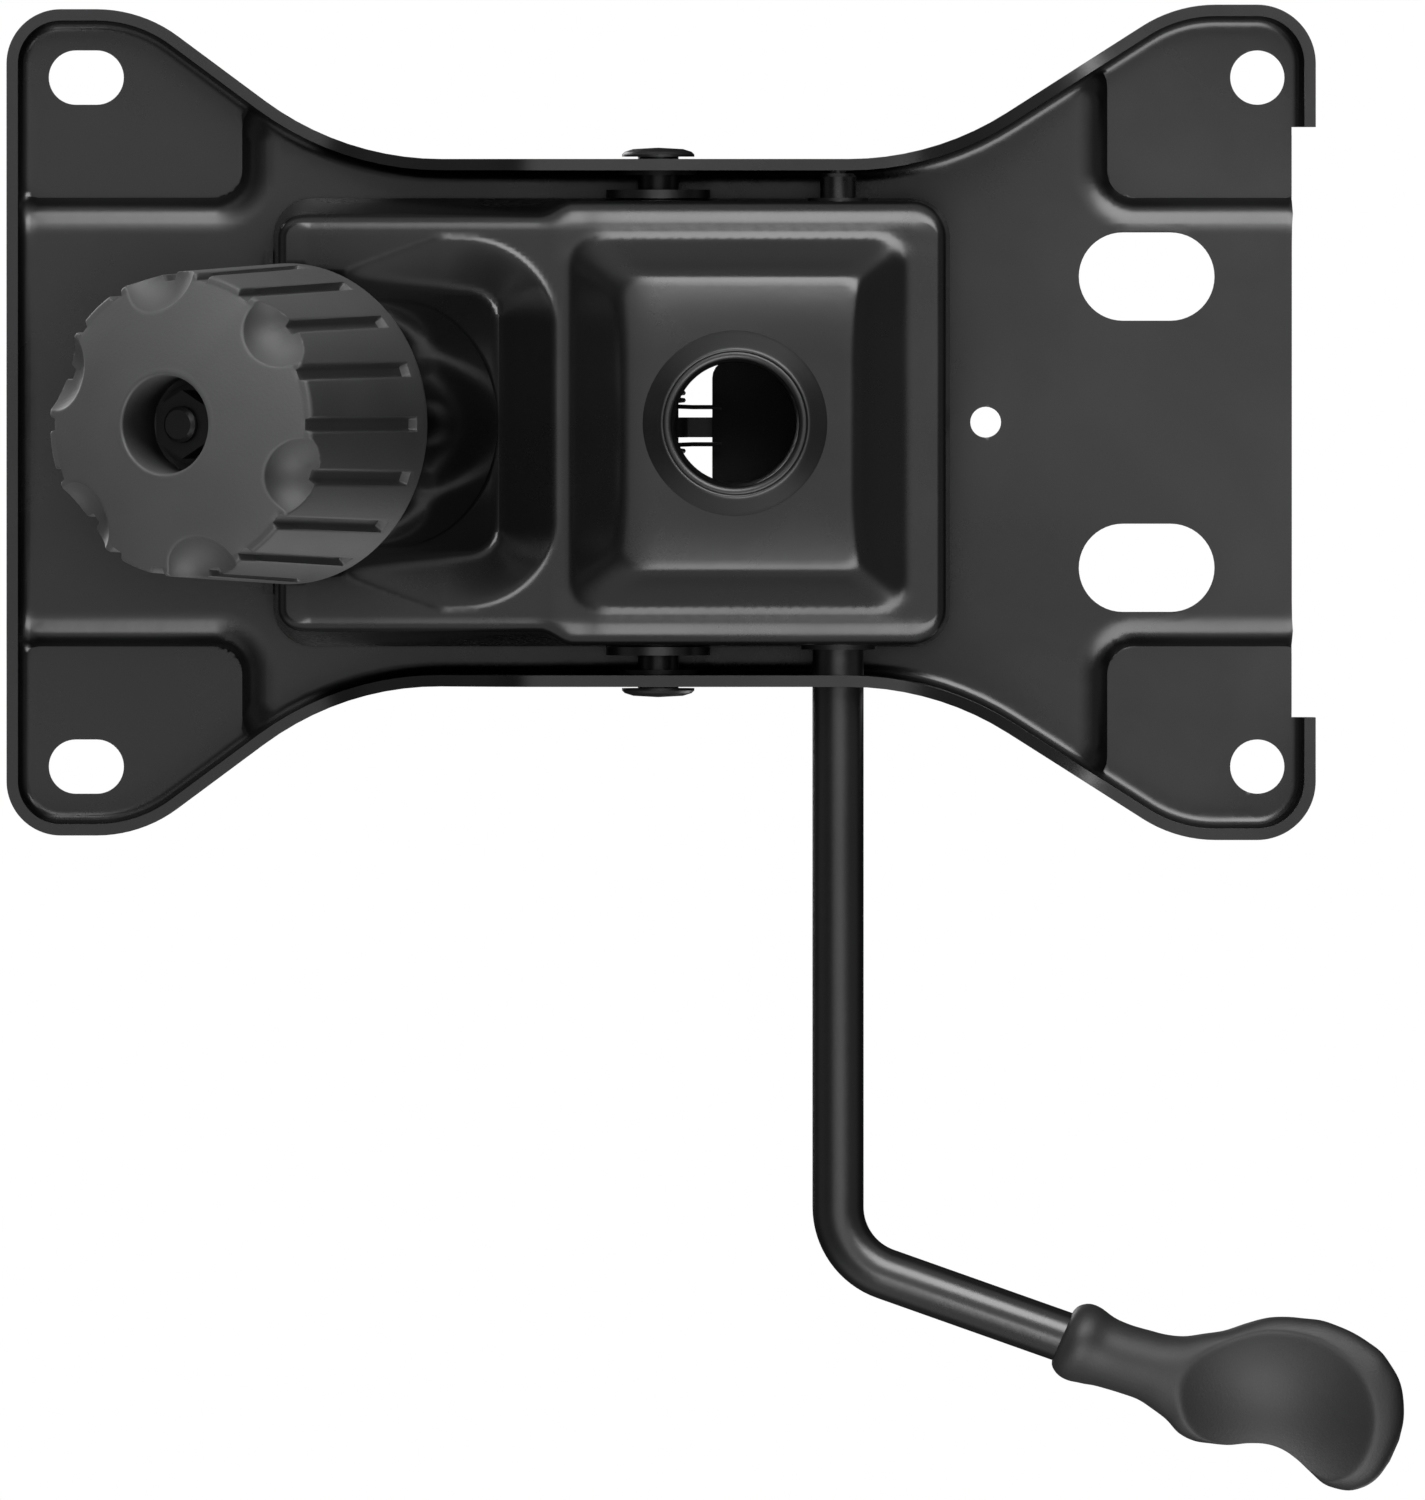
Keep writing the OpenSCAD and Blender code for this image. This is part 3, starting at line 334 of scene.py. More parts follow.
# One finish: a base colour that varies a little, a fine surface texture and some dust
finishes = {
    "plate_paint": {"colour": 0.0045, "rough": 0.27, "roughSpread": 0.05, "specular": 0.5, "grainScale": 620,
                    "grain": 0.055, "waveScale": 45, "wave": 0.05, "dust": 0.12},
    "pan_paint": {"colour": 0.004, "rough": 0.26, "roughSpread": 0.05, "specular": 0.5, "grainScale": 620,
                  "grain": 0.05, "waveScale": 45, "wave": 0.05, "dust": 0.1},
    "steel_paint": {"colour": 0.005, "rough": 0.32, "roughSpread": 0.06, "specular": 0.45, "grainScale": 700,
                    "grain": 0.08, "waveScale": 60, "wave": 0.03, "dust": 0.15},
    "sleeve_gloss": {"colour": 0.003, "rough": 0.14, "roughSpread": 0.04, "specular": 0.5, "grainScale": 500,
                     "grain": 0.03, "waveScale": 50, "wave": 0.03, "dust": 0.1},
    "rod_satin": {"colour": 0.004, "rough": 0.29, "roughSpread": 0.05, "specular": 0.65, "grainScale": 900,
                  "grain": 0.08, "waveScale": 60, "wave": 0.02, "dust": 0.15},
    "bush_dark": {"colour": 0.003, "rough": 0.36, "roughSpread": 0.06, "specular": 0.5, "grainScale": 1200,
                  "grain": 0.05, "waveScale": 80, "wave": 0.02, "dust": 0.15},
    "paddle_black": {"colour": 0.002, "rough": 0.5, "roughSpread": 0.05, "specular": 0.12, "grainScale": 1200,
                     "grain": 0.05, "waveScale": 80, "wave": 0.02, "dust": 0.15},
    "washer_dark": {"colour": 0.11, "rough": 0.36, "roughSpread": 0.1, "specular": 0.5, "grainScale": 1400,
                    "grain": 0.08, "waveScale": 90, "wave": 0.02, "dust": 0.2, "metallic": 0.9},
    "zinc_dark": {"colour": 0.05, "rough": 0.34, "roughSpread": 0.12, "specular": 0.5, "grainScale": 900,
                  "grain": 0.08, "waveScale": 90, "wave": 0.03, "dust": 0.25, "metallic": 0.95},
    "spring_dark": {"colour": 0.06, "rough": 0.4, "roughSpread": 0.1, "specular": 0.5, "grainScale": 1500,
                    "grain": 0.1, "waveScale": 90, "wave": 0.02, "dust": 0.2, "metallic": 0.9},
    "nylon_black": {"colour": 0.014, "rough": 0.42, "roughSpread": 0.08, "specular": 0.4, "grainScale": 1600,
                    "grain": 0.12, "waveScale": 60, "wave": 0.02, "dust": 0.15},
    "rubber_black": {"colour": 0.012, "rough": 0.7, "roughSpread": 0.08, "specular": 0.35, "grainScale": 1200,
                     "grain": 0.25, "waveScale": 60, "wave": 0.02, "dust": 0.3},
    "knob_matte": {"colour": 0.058, "rough": 0.52, "roughSpread": 0.08, "specular": 0.38, "grainScale": 1500,
                   "grain": 0.22, "waveScale": 35, "wave": 0.04, "dust": 0.2},
    "grip_matte": {"colour": 0.017, "rough": 0.5, "roughSpread": 0.08, "specular": 0.38, "grainScale": 1700,
                   "grain": 0.22, "waveScale": 35, "wave": 0.03, "dust": 0.2},
}

# What all the finishes share: noise scales, the reach of the two bumps in metres, the colour of dust
texture = {"cloud": (14.0, 4.0, 0.6, 0.4), "speckScale": 2600.0, "speckFrom": 0.68, "speckTo": 0.78,
           "grainReach": 0.00018, "waveReach": 0.0012, "dust": 0.12, "darker": 0.88, "lighter": 1.14}


def makeFinish(name, spec):
    material = bpy.data.materials.new(name)
    tree = Tree(material)
    place = tree.add("ShaderNodeTexCoord", output="Object")
    broad = tree.noise(place, spec["waveScale"], 3.0)
    cloud = tree.noise(place, *texture["cloud"])
    grain = tree.noise(place, spec["grainScale"], 2.0)
    specks = tree.noise(place, texture["speckScale"], 1.0).ramp(texture["speckFrom"], texture["speckTo"])
    dark, light = spec["colour"] * texture["darker"], spec["colour"] * texture["lighter"]
    colour = tree.mixColour(cloud.ramp(0.3, 0.7), grey(dark), grey(light, 0.01))
    colour = tree.mixColour(specks * (spec["dust"] * 0.5), colour, grey(texture["dust"]))
    roughness = (cloud.ramp(0.3, 0.72, -spec["roughSpread"], spec["roughSpread"])
                 + (grain * (spec["roughSpread"] * 0.5)) + spec["rough"])
    fine = tree.add("ShaderNodeBump", None, {"Strength": spec["grain"], "Distance": texture["grainReach"],
                                             "Height": grain}, "Normal")
    bump = tree.add("ShaderNodeBump", None, {"Strength": spec["wave"], "Distance": texture["waveReach"],
                                             "Height": broad, "Normal": fine}, "Normal")
    shader = tree.add("ShaderNodeBsdfPrincipled", None, {
        "Base Color": colour, "Roughness": roughness.clamped(0.05, 0.95), "Normal": bump,
        "Specular IOR Level": spec["specular"], "Metallic": spec.get("metallic", 0.0)})
    tree.node("ShaderNodeOutputMaterial", None, {"Surface": shader})
    return material


finish = {name: makeFinish(name, spec) for name, spec in finishes.items()}
print("finishes made:", len(finish))

# Camera: up at the underside with a long lens, a little turned, the lever to the picture's bottom
photo = {"pixel": 0.0002205, "height": 1500, "centreX": -0.0725, "centreY": -0.005, "away": 14.0,
         "sensor": 36.0, "planeZ": 0.02, "aside": 0.127, "plateZ": 0.061}
cameraData = bpy.data.cameras.new("camera")
camera = linkedObject("camera", cameraData)
bpy.context.scene.camera = camera
cameraData.sensor_width = photo["sensor"]
cameraData.lens = photo["sensor"] * photo["away"] / (photo["pixel"] * photo["height"])
cameraData.clip_start, cameraData.clip_end = 0.5, 60.0
eye = Vector((photo["centreX"] + photo["aside"], photo["centreY"], photo["planeZ"] - photo["away"]))
backward = (eye - Vector((photo["centreX"], photo["centreY"], photo["plateZ"]))).normalized()
upward = backward.cross(Vector((0, 1, 0)))
camera.matrix_world = Matrix(((0, upward.x, backward.x, eye.x), (1, upward.y, backward.y, eye.y),
                              (0, upward.z, backward.z, eye.z), (0, 0, 0, 1)))

# Light: strips below that are only mirrored, fills below that only shine, and panels above for other views
lamps = {
    "stripTop": {"aim": (0.95, 0.50, -1.3), "size": (1.4, 1.0), "radiance": 8.5, "mirror": True},
    "stripBottom": {"aim": (-0.95, 0.53, -1.3), "size": (1.35, 1.0), "radiance": 6.0, "mirror": True},
    "fillTop": {"aim": (1.3, -0.5, -0.5), "size": (1.0, 1.0), "radiance": 11.0, "mirror": False},
    "fillBottom": {"aim": (-1.3, -0.5, -0.5), "size": (1.0, 1.0), "radiance": 6.0, "mirror": False},
    "panelAbove": {"aim": (0.7, -1.0, 1.6), "size": (1.2, 1.2), "radiance": 3.2},
    "fillAbove": {"aim": (-1.2, 0.9, 1.3), "size": (1.0, 1.0), "radiance": 1.8},
}
aimPoint = Vector((-0.03, -0.02, 0.02))
for name, spec in lamps.items():
    data = bpy.data.lights.new(name, "AREA")
    data.shape = "RECTANGLE"
    data.size, data.size_y = spec["size"]
    data.energy = spec["radiance"] * math.pi * spec["size"][0] * spec["size"][1]
    lamp = linkedObject(name, data)
    lamp.location = aimPoint + Vector(spec["aim"])
    lamp.rotation_mode = "QUATERNION"
    across = Vector((spec["aim"][0], 0, spec["aim"][2])) if "strip" in name else Vector(spec["aim"])
    lamp.rotation_quaternion = (-across).to_track_quat("-Z", "Y")  # the strips run along the object
    lamp.visible_camera = False
    lamp.visible_glossy = spec.get("mirror", True)
    lamp.visible_diffuse = not spec.get("mirror", False)

# World: white for the camera, a shaped glow for what the paint mirrors, dim for the rest.
# The glow is bright below, less so at the sides, and fades upward. Each lobe: from, to, level from, level to.
glowLobes = {"below": (-0.86, -0.97, 0.1, 0.86), "sides": (0.35, 0.8, 0.0, 0.62),
             "behind": (0.5, 0.95, 0.0, 0.22), "front": (-0.6, -0.95, 0.0, 0.2),
             "fade": (0.0, 0.3, 1.0, 0.12)}
dimLevel = 0.15
world = bpy.data.worlds.new("studio")
bpy.context.scene.world = world
sky = Tree(world)
rays = sky.node("ShaderNodeLightPath")
seen, clearRay, glossy = (Value(sky, rays.outputs["Is %s Ray" % kind])
                          for kind in ("Camera", "Transmission", "Glossy"))
seen = seen.maths("MAXIMUM", clearRay)
direction = sky.add("ShaderNodeTexCoord", output="Generated")
parts = sky.node("ShaderNodeSeparateXYZ", None, {"Vector": direction}).outputs
aside, ahead, height = (Value(sky, parts[axis]) for axis in ("X", "Y", "Z"))
below = height.ramp(*glowLobes["below"])
sides = aside.maths("ABSOLUTE").ramp(*glowLobes["sides"])
behind = ahead.ramp(*glowLobes["behind"])
front = ahead.ramp(*glowLobes["front"])
glow = below.maths("MAXIMUM", front).maths("MAXIMUM", sides).maths("MAXIMUM", behind)
glow = glow * height.ramp(*glowLobes["fade"])
level = seen + (1 - seen) * (glossy * glow + (1 - glossy) * dimLevel)
background = sky.add("ShaderNodeBackground", None, {"Color": (1, 1, 1, 1), "Strength": level})
sky.node("ShaderNodeOutputWorld", None, {"Surface": background})

# Floor: pale, one-sided so that the camera below sees through it, fading into the white world
floor = {"radius": 1.6, "fadeFrom": 0.45, "fadeTo": 1.5, "colour": 0.86, "drop": 0.0005}
bm = bmesh.new()
bmesh.ops.create_circle(bm, cap_ends=True, segments=96, radius=floor["radius"],
                        matrix=Matrix.Translation((aimPoint.x, aimPoint.y, cadBox[0].z - floor["drop"])))
faceUp(bm)
floorPiece = meshObject("floor", bm)
floorMaterial = bpy.data.materials.new("floor_pale")
tree = Tree(floorMaterial)
place = tree.add("ShaderNodeTexCoord", output="Object")
away = Value(tree, tree.node("ShaderNodeVectorMath", {"operation": "LENGTH"}, {0: place}).outputs["Value"])
backface = Value(tree, tree.node("ShaderNodeNewGeometry").outputs["Backfacing"])
clear = away.ramp(floor["fadeFrom"], floor["fadeTo"]).maths("MAXIMUM", backface)
diffuse = tree.add("ShaderNodeBsdfDiffuse", None, {"Color": grey(floor["colour"])})
through = tree.add("ShaderNodeBsdfTransparent")
blend = tree.add("ShaderNodeMixShader", None, {0: clear, 1: diffuse, 2: through})
tree.node("ShaderNodeOutputMaterial", None, {"Surface": blend})
floorPiece.data.materials.append(floorMaterial)
floorPiece.visible_shadow = False
floorPiece.visible_glossy = False
floorPiece.visible_diffuse = False
print("camera, lamps, world and floor made")

# Seat plate: one pressed sheet with four raised pads, a bent rim and deep side flanges
plate = {
    "front": 161.0, "rear": 128.3, "frontHalf": 91.3, "rearHalf": 92.3, "waistHalf": 58.2, "sheet": 2.5,
    "top": 61.0, "bend": 5.2, "rimLow": 49.0, "flangeLow": 16.0, "padRise": 4.0, "padStep": 6.8,
    "padCorner": 7.0, "padGapHalf": 48.6, "padReachFront": 108.0, "padReachRear": 81.3, "rearOpenHalf": 66.2,
    "holeX": 76.2, "frontHoleY": -143.5, "rearHoleY": 115.5, "hole": 6.0, "slotLength": 16.6,
    "reliefX": 32.2, "reliefY": 91.0, "reliefLength": 30.0, "reliefWidth": 19.5, "pilotY": 55.4, "pilot": 3.4,
    "windowHalf": (27.0, 29.0), "windowY": -2.0, "windowCorner": 6.0, "barHalf": (15.5, 6.0), "barY": -47.46,
    "tilt": 16.0, "flangeRiseFront": (44.0, 92.0), "flangeRiseRear": (34.7, 82.7),
    # the outline's corners: distance back from the front edge or forward from the rear edge, and radius
    "frontCorner": 12.0, "frontShoulder": (29.8, 30.0), "frontWaist": (74.4, 66.0),
    "rearWaist": (84.3, 65.0), "rearShoulder": (30.9, 30.0), "rearCorner": 13.0,
    # the step of a pad: width of its round foot, its slope, where the slope starts, the blend at its top
    "padFoot": 20.0, "padSlope": 1.15, "padSlopeFrom": 4.5, "padBlend": 2.0,
    # the grid: its half width, its front and rear, the coarse and the fine spacing, the gap to the outline
    "gridHalf": 92, "gridFront": -160, "gridRear": 128, "grid": 3.0, "fineGrid": 0.65, "fineReach": 7.0,
    "gridGap": 1.1, "bendRings": 6, "rimShares": (0.12, 0.3, 0.5, 0.7, 0.88, 1.0),
}


squareCorners = ((1, -1), (1, 1), (-1, 1), (-1, -1))


def bothSides(half):
    return half + [(-x, y, r) for x, y, r in reversed(half)]


def padHeight(x, y):
    p = plate
    reach = p["padReachFront"] if y < 0 else p["padReachRear"]
    r = p["padCorner"]
    qx = p["padGapHalf"] + r - abs(x)
    qy = reach + r - abs(y)
    d = math.hypot(max(qx, 0), max(qy, 0)) + min(max(qx, qy), 0) - r
    u = p["padStep"] - d  # a wide round edge, a short steep part and a tight corner at the pad
    if u <= 0:
        return 0.0
    rise = u * u / p["padFoot"] + p["padSlope"] * max(u - p["padSlopeFrom"], 0)
    return smoothMin(rise, p["padRise"], p["padBlend"])


def flangeLow(y):
    t = smoothStep(*plate["flangeRiseRear"], y) if y > 0 else smoothStep(*plate["flangeRiseFront"], -y)
    return blendTo(plate["flangeLow"], plate["rimLow"], t)


def platePoints():
    p = plate
    corners = [(p["frontHalf"], -p["front"], p["frontCorner"])]
    for half, name in ((p["frontHalf"], "frontShoulder"), (p["waistHalf"], "frontWaist")):
        corners.append((half, -p["front"] + p[name][0], p[name][1]))
    for half, name in ((p["waistHalf"], "rearWaist"), (p["rearHalf"], "rearShoulder")):
        corners.append((half, p["rear"] - p[name][0], p[name][1]))
    corners.append((p["rearHalf"], p["rear"], p["rearCorner"]))
    return roundedOutline(bothSides(corners), arcStep=4.0, spacing=2.0)


def keyOf(place):
    return round(place.x, 3), round(place.y, 3)


def buildPlate():
    p = plate
    outline = platePoints()
    inner = [a - n * p["bend"] for a, n in outline]
    holes = [slotPoints(s * p["holeX"], p["frontHoleY"], p["slotLength"], 2 * p["hole"]) for s in (-1, 1)]
    holes += [circlePoints(s * p["holeX"], p["rearHoleY"], p["hole"]) for s in (-1, 1)]
    holes += [slotPoints(s * p["reliefX"], p["reliefY"], p["reliefLength"], p["reliefWidth"])
              for s in (-1, 1)]
    holes.append(circlePoints(0, p["pilotY"], p["pilot"], count=32))
    wx, wy = p["windowHalf"]
    window = [(x * wx, p["windowY"] + y * wy, p["windowCorner"]) for x, y in squareCorners]
    holes.append([a for a, _ in roundedOutline(window)])
    bx, by = p["barHalf"]
    holes.append([Vector((x * bx, p["barY"] + y * by)) for x, y in squareCorners])
    alongX = gridLines(-p["gridHalf"], p["gridHalf"], p["grid"])
    alongY = gridLines(p["gridFront"], p["gridRear"], p["grid"])
    near, far, fine = p["padStep"] + 1, p["fineReach"], p["fineGrid"]  # fine lines where the pads' steps are
    for side in (-1, 1):
        alongX += [side * c for c in gridLines(p["padGapHalf"] - near, p["padGapHalf"] + far, fine)]
    alongY += gridLines(-p["padReachFront"] - far, -p["padReachFront"] + near, fine)
    alongY += gridLines(p["padReachRear"] - near, p["padReachRear"] + far, fine)
    bm = fillSheet([inner] + holes, thinned(alongX), thinned(alongY), p["gridGap"])
    places = {keyOf(a): outline[i] for i, a in enumerate(inner)}
    rimEdges = []
    for e in bm.edges:
        middle = (e.verts[0].co + e.verts[1].co) / 2
        if e.is_boundary and all(keyOf(v.co) in places for v in e.verts):
            if not (middle.y > p["rear"] - p["bend"] - 0.5 and abs(middle.x) < p["rearOpenHalf"]):
                rimEdges.append(e)
    for v in bm.verts:
        v.co.z = p["top"] + padHeight(v.co.x, v.co.y)
    rings = []  # inset, drop and share of the way down, first round the bend and then down the flange
    for k in range(1, p["bendRings"] + 1):
        w = math.pi / 2 * k / p["bendRings"]
        rings.append((p["bend"] * (1 - math.sin(w)), p["bend"] * (1 - math.cos(w)), 0.0))
    rings += [(0.0, p["bend"], share) for share in p["rimShares"]]
    base = {v: (*places[keyOf(v.co)], v.co.z) for e in rimEdges for v in e.verts}

    def rimPlace(a, n, top, inset, drop, share):
        return inset, blendTo(top - drop, flangeLow(a.y), share)

    ringsUp(bm, rimEdges, base, rings, rimPlace)
    toMetres(bm)
    return bm


def ringsUp(bm, edges, base, steps, findPlace):  # extrudes ring after ring along an outline
    for step in steps:
        newVerts, edges = growRing(bm, edges)
        nextBase = {}
        for v in newVerts:  # a new vert starts on the old one
            for e in v.link_edges:
                old = e.other_vert(v)
                if old in base and (old.co - v.co).length < 1e-9:
                    nextBase[v] = base[old]
                    break
        for v, (a, n, level) in nextBase.items():
            inset, z = findPlace(a, n, level, *step)
            v.co = (a.x - n.x * inset, a.y - n.y * inset, z)
        base = nextBase


platePiece = makePiece("plateSheet", buildPlate(), "seat", finish["plate_paint"],
                       "seat_plate")
addModifier(platePiece, "SOLIDIFY", thickness=plate["sheet"] * mm, offset=-1.0, use_even_offset=False)
roundEdges(platePiece, 0.4)

# Housing pan: deep-drawn sheet with the sloped seat of the sleeve, the gas-lift block and drafted walls
pan = {
    "front": 102.0, "rear": 47.4, "half": 49.5, "corner": 8.6, "sheet": 2.5, "rim": 55.0, "inset": 7.1,
    "floorFront": 15.2, "floorTilt": 0.07, "floorRear": 13.0, "levelFrom": -43.0, "levelTo": -36.0,
    "slant": math.tan(math.radians(30)), "wedgeFront": -85.8, "wedgeRear": -52.0, "faceHalf": 32.2,
    "faceCorner": 6.0, "rearWall": 12.5, "hollow": 1.2, "blockHalf": 32.3, "blockFront": -24.4,
    "blockRear": 26.4, "slopes": (9.7, 12.0, 12.0), "blockRise": 10.0, "hole": 16.55, "boltY": -76.0,
    "boltHole": 5.0,
    # the seat of the sleeve: how its face narrows, how its side widens, the blend at its lip
    "faceTaper": 0.095, "sideGrowth": 0.46, "sideLeast": 1.3, "sideMost": 11.0, "lipBlend": 1.4,
    "lipShare": 0.4, "pocketInside": 0.8, "pocketOutside": 1.0, "meetBlend": 1.0,
    "meetFrom": -60.0, "tiltFrom": -70.0,
    # the block: powers of its slopes, corner blends at the rear and the front, the dome on its flat
    "sidePower": 1.3, "frontPower": 1.08, "sideLoss": 1.2, "footShare": 0.3, "rearBlend": 5.0,
    "frontBlend": 6.5, "endBlend": 1.0, "domeX": (0.0046, 14.5), "domeY": (0.009, 17.0), "domeBlend": 1.2,
    # the wall, in millimetres: beside the front, beside the rear, at the front, at the rear
    "draft": (3.4, 0.6, 1.2, 0.9), "footWide": (3.6, 6.4, 2.6, 2.8), "footTall": (3.6, 3.8, 2.6, 2.8),
    "rimFallFrom": -12.0, "rimFall": 0.2773, "arcRings": 7, "wallRings": 8, "grid": 1.0, "gridGap": 0.75,
    "gridHalf": 44, "gridFront": -97, "gridRear": 42,
}

# Places of the lever and the axle, which the pan and the plate are cut for
lever = {"y": 22.7, "z": 28.0, "rod": 5.65, "tip": 4.0, "bendX": 184.1, "bendR": 15.7, "bendOut": 19.5,
         "shoulderX": 34.8, "gripStart": 55.5, "panHole": 7.05, "panTipHole": 5.55, "plateSlot": 7.3,
         "plateTipSlot": 4.7}
axle = {"y": -17.0, "z": 46.5, "panHole": 4.6, "plateHole": 6.15, "reach": 70}


def wedgeDepth(x, y):  # how far the sleeve's seat stands below the flat floor
    p = pan
    reach = y - p["wedgeFront"]
    if reach < 0:  # in front of the seat its plane runs on as a pocket
        inside, outside = p["faceHalf"] - p["pocketInside"], p["faceHalf"] + p["pocketOutside"]
        return reach * (p["slant"] - p["floorTilt"]) * (1 - smoothStep(inside, outside, abs(x)))
    faceHalf = p["faceHalf"] - p["faceTaper"] * reach
    r = p["faceCorner"]
    qx = max(abs(x) - faceHalf + r, 0)
    qy = max(y - p["wedgeRear"] + r, 0)
    out = math.hypot(qx, qy)
    turn = qy / out if out > 1e-6 else 0.0
    edgeY = p["wedgeRear"] - r + r * turn if out > r and qy > 0 else y
    depth = (edgeY - p["wedgeFront"]) * (p["slant"] - p["floorTilt"])
    side = clamp(p["sideLeast"] + p["sideGrowth"] * reach, p["sideLeast"], p["sideMost"])
    width = blendTo(side, p["rearWall"], turn * turn)
    fading = depth * max(1 - (out - r) / width, 0) ** p["hollow"]
    return smoothMin(fading, depth, min(p["lipBlend"], p["lipShare"] * depth))


def slopeDepth(share, power):
    return share ** power if share > 0 else share * pan["footShare"]


def blockDepth(x, y):
    p = pan
    side, front, rear = p["slopes"]
    rise = p["blockRise"]
    # each slope is steep below the flat and runs out in a long hollow foot
    fromSide = slopeDepth((p["blockHalf"] + side - abs(x)) / side, p["sidePower"]) * (rise - p["sideLoss"])
    fromFront = slopeDepth((y - p["blockFront"] + front) / front, p["frontPower"]) * rise
    fromRear = slopeDepth((p["blockRear"] + rear - y) / rear, p["sidePower"]) * rise
    corner = p["rearBlend"] if y > 0 else p["frontBlend"]
    depth = smoothMin(fromSide, smoothMin(fromFront, fromRear, p["endBlend"]), corner)
    bendX, flatX = p["domeX"]
    bendY, flatY = p["domeY"]
    domed = rise - bendX * max(abs(x) - flatX, 0) ** 2 - bendY * max(-y - flatY, 0) ** 2
    return smoothMin(depth, domed, p["domeBlend"])


def panFloor(y):
    ahead = pan["floorFront"] - (y - pan["tiltFrom"]) * pan["floorTilt"]
    return blendTo(ahead, pan["floorRear"], smoothStep(pan["levelFrom"], pan["levelTo"], y))


def panHeight(x, y):
    depth = wedgeDepth(x, y)
    if y > pan["meetFrom"]:
        depth = smoothMax(depth, blockDepth(x, y), pan["meetBlend"])
    return panFloor(y) - depth


def wallShape(y, n):  # draft, foot width and foot height of the wall at a point of the outline
    t = smoothStep(pan["levelFrom"], pan["levelTo"], y)
    ahead, behind = max(-n.y, 0) ** 2, max(n.y, 0) ** 2
    beside = 1 - ahead - behind
    return [beside * blendTo(pan[key][0], pan[key][1], t) + ahead * pan[key][2] + behind * pan[key][3]
            for key in ("draft", "footWide", "footTall")]


def panRim(y):
    return pan["rim"] - max(y - pan["rimFallFrom"], 0) * pan["rimFall"]


def buildPan():
    p = pan
    outline = roundedOutline([(x * p["half"], p["rear"] if y > 0 else -p["front"], p["corner"])
                              for x, y in squareCorners], arcStep=6.0, spacing=1.6)
    inner = [a - n * p["inset"] for a, n in outline]
    holes = [circlePoints(0, 0, p["hole"], count=96),
             circlePoints(0, p["boltY"], p["boltHole"], p["boltHole"] * math.cos(math.radians(30)), count=24)]
    bm = fillSheet([inner] + holes, gridLines(-p["gridHalf"], p["gridHalf"], p["grid"]),
                   gridLines(p["gridFront"], p["gridRear"], p["grid"]), p["gridGap"])
    places = {keyOf(a): outline[i] for i, a in enumerate(inner)}
    edges = [e for e in bm.edges if e.is_boundary and all(keyOf(v.co) in places for v in e.verts)]
    base = {v: (*places[keyOf(v.co)], panHeight(v.co.x, v.co.y)) for e in edges for v in e.verts}
    for v in bm.verts:
        v.co.z = panHeight(v.co.x, v.co.y)
    steps = [("arc", k / p["arcRings"]) for k in range(1, p["arcRings"] + 1)]
    steps += [("wall", k / p["wallRings"]) for k in range(1, p["wallRings"] + 1)]

    def wallPlace(a, n, floorZ, kind, share):
        draft, wide, tall = wallShape(a.y, n)
        if kind == "arc":
            w = math.pi / 2 * share
            return draft + wide * (1 - math.sin(w)), floorZ + tall * (1 - math.cos(w))
        foot = floorZ + tall
        return draft * (1 - share), blendTo(foot, panRim(a.y), share)

    ringsUp(bm, edges, base, steps, wallPlace)
    bmesh.ops.reverse_faces(bm, faces=bm.faces[:])
    toMetres(bm)
    return bm


panPiece = makePiece("panSheet", buildPan(), "housing", finish["pan_paint"], "housing_pan")
addModifier(panPiece, "SOLIDIFY", thickness=pan["sheet"] * mm, offset=-1.0, use_even_offset=False)
roundEdges(panPiece, 0.35)


def panCutter(bm):
    addRod(bm, -axle["reach"], axle["reach"], axle["y"], axle["z"], axle["panHole"])
    addRod(bm, -axle["reach"], 0, lever["y"], lever["z"], lever["panHole"])
    addRod(bm, 0, axle["reach"], lever["y"], lever["z"], lever["panTipHole"])


cutHoles(panPiece, panCutter)
addModifier(panPiece, "WEIGHTED_NORMAL", keep_sharp=True)
print("pan made:", len(panPiece.data.polygons), "faces")


def addSlot(bm, x0, x1, start, end, radius):  # a slot along X, from one place in Y and Z to another
    middle = Vector((x0, *start)) * mm
    made = bmesh.ops.create_circle(bm, cap_ends=True, segments=48, radius=radius * mm, matrix=ontoX(*middle))
    chord = Vector((0, end[0] - start[0], end[1] - start[1])) * mm
    for v in made["verts"]:
        if (v.co - middle).dot(chord) > 0:
            v.co += chord
    grown = bmesh.ops.extrude_face_region(bm, geom=[made["verts"][0].link_faces[0]])
    bmesh.ops.translate(bm, vec=((x1 - x0) * mm, 0, 0), verts=newOf(bmesh.types.BMVert, grown))
    bmesh.ops.recalc_face_normals(bm, faces=bm.faces[:])


def plateCutter(bm):  # the rod keeps its place in the slot while the plate tilts
    addRod(bm, -axle["reach"], axle["reach"], axle["y"], axle["z"], axle["plateHole"])
    away = math.hypot(lever["y"] - axle["y"], lever["z"] - axle["z"])
    turn = math.atan2(lever["z"] - axle["z"], lever["y"] - axle["y"]) + math.radians(plate["tilt"])
    end = (axle["y"] + away * math.cos(turn), axle["z"] + away * math.sin(turn))
    addSlot(bm, -axle["reach"], -40, (lever["y"], lever["z"]), end, lever["plateSlot"])
    addSlot(bm, 50, axle["reach"], (lever["y"], lever["z"]), end, lever["plateTipSlot"])


cutHoles(platePiece, plateCutter)
addModifier(platePiece, "WEIGHTED_NORMAL", keep_sharp=True)
print("plate made:", len(platePiece.data.polygons), "faces")


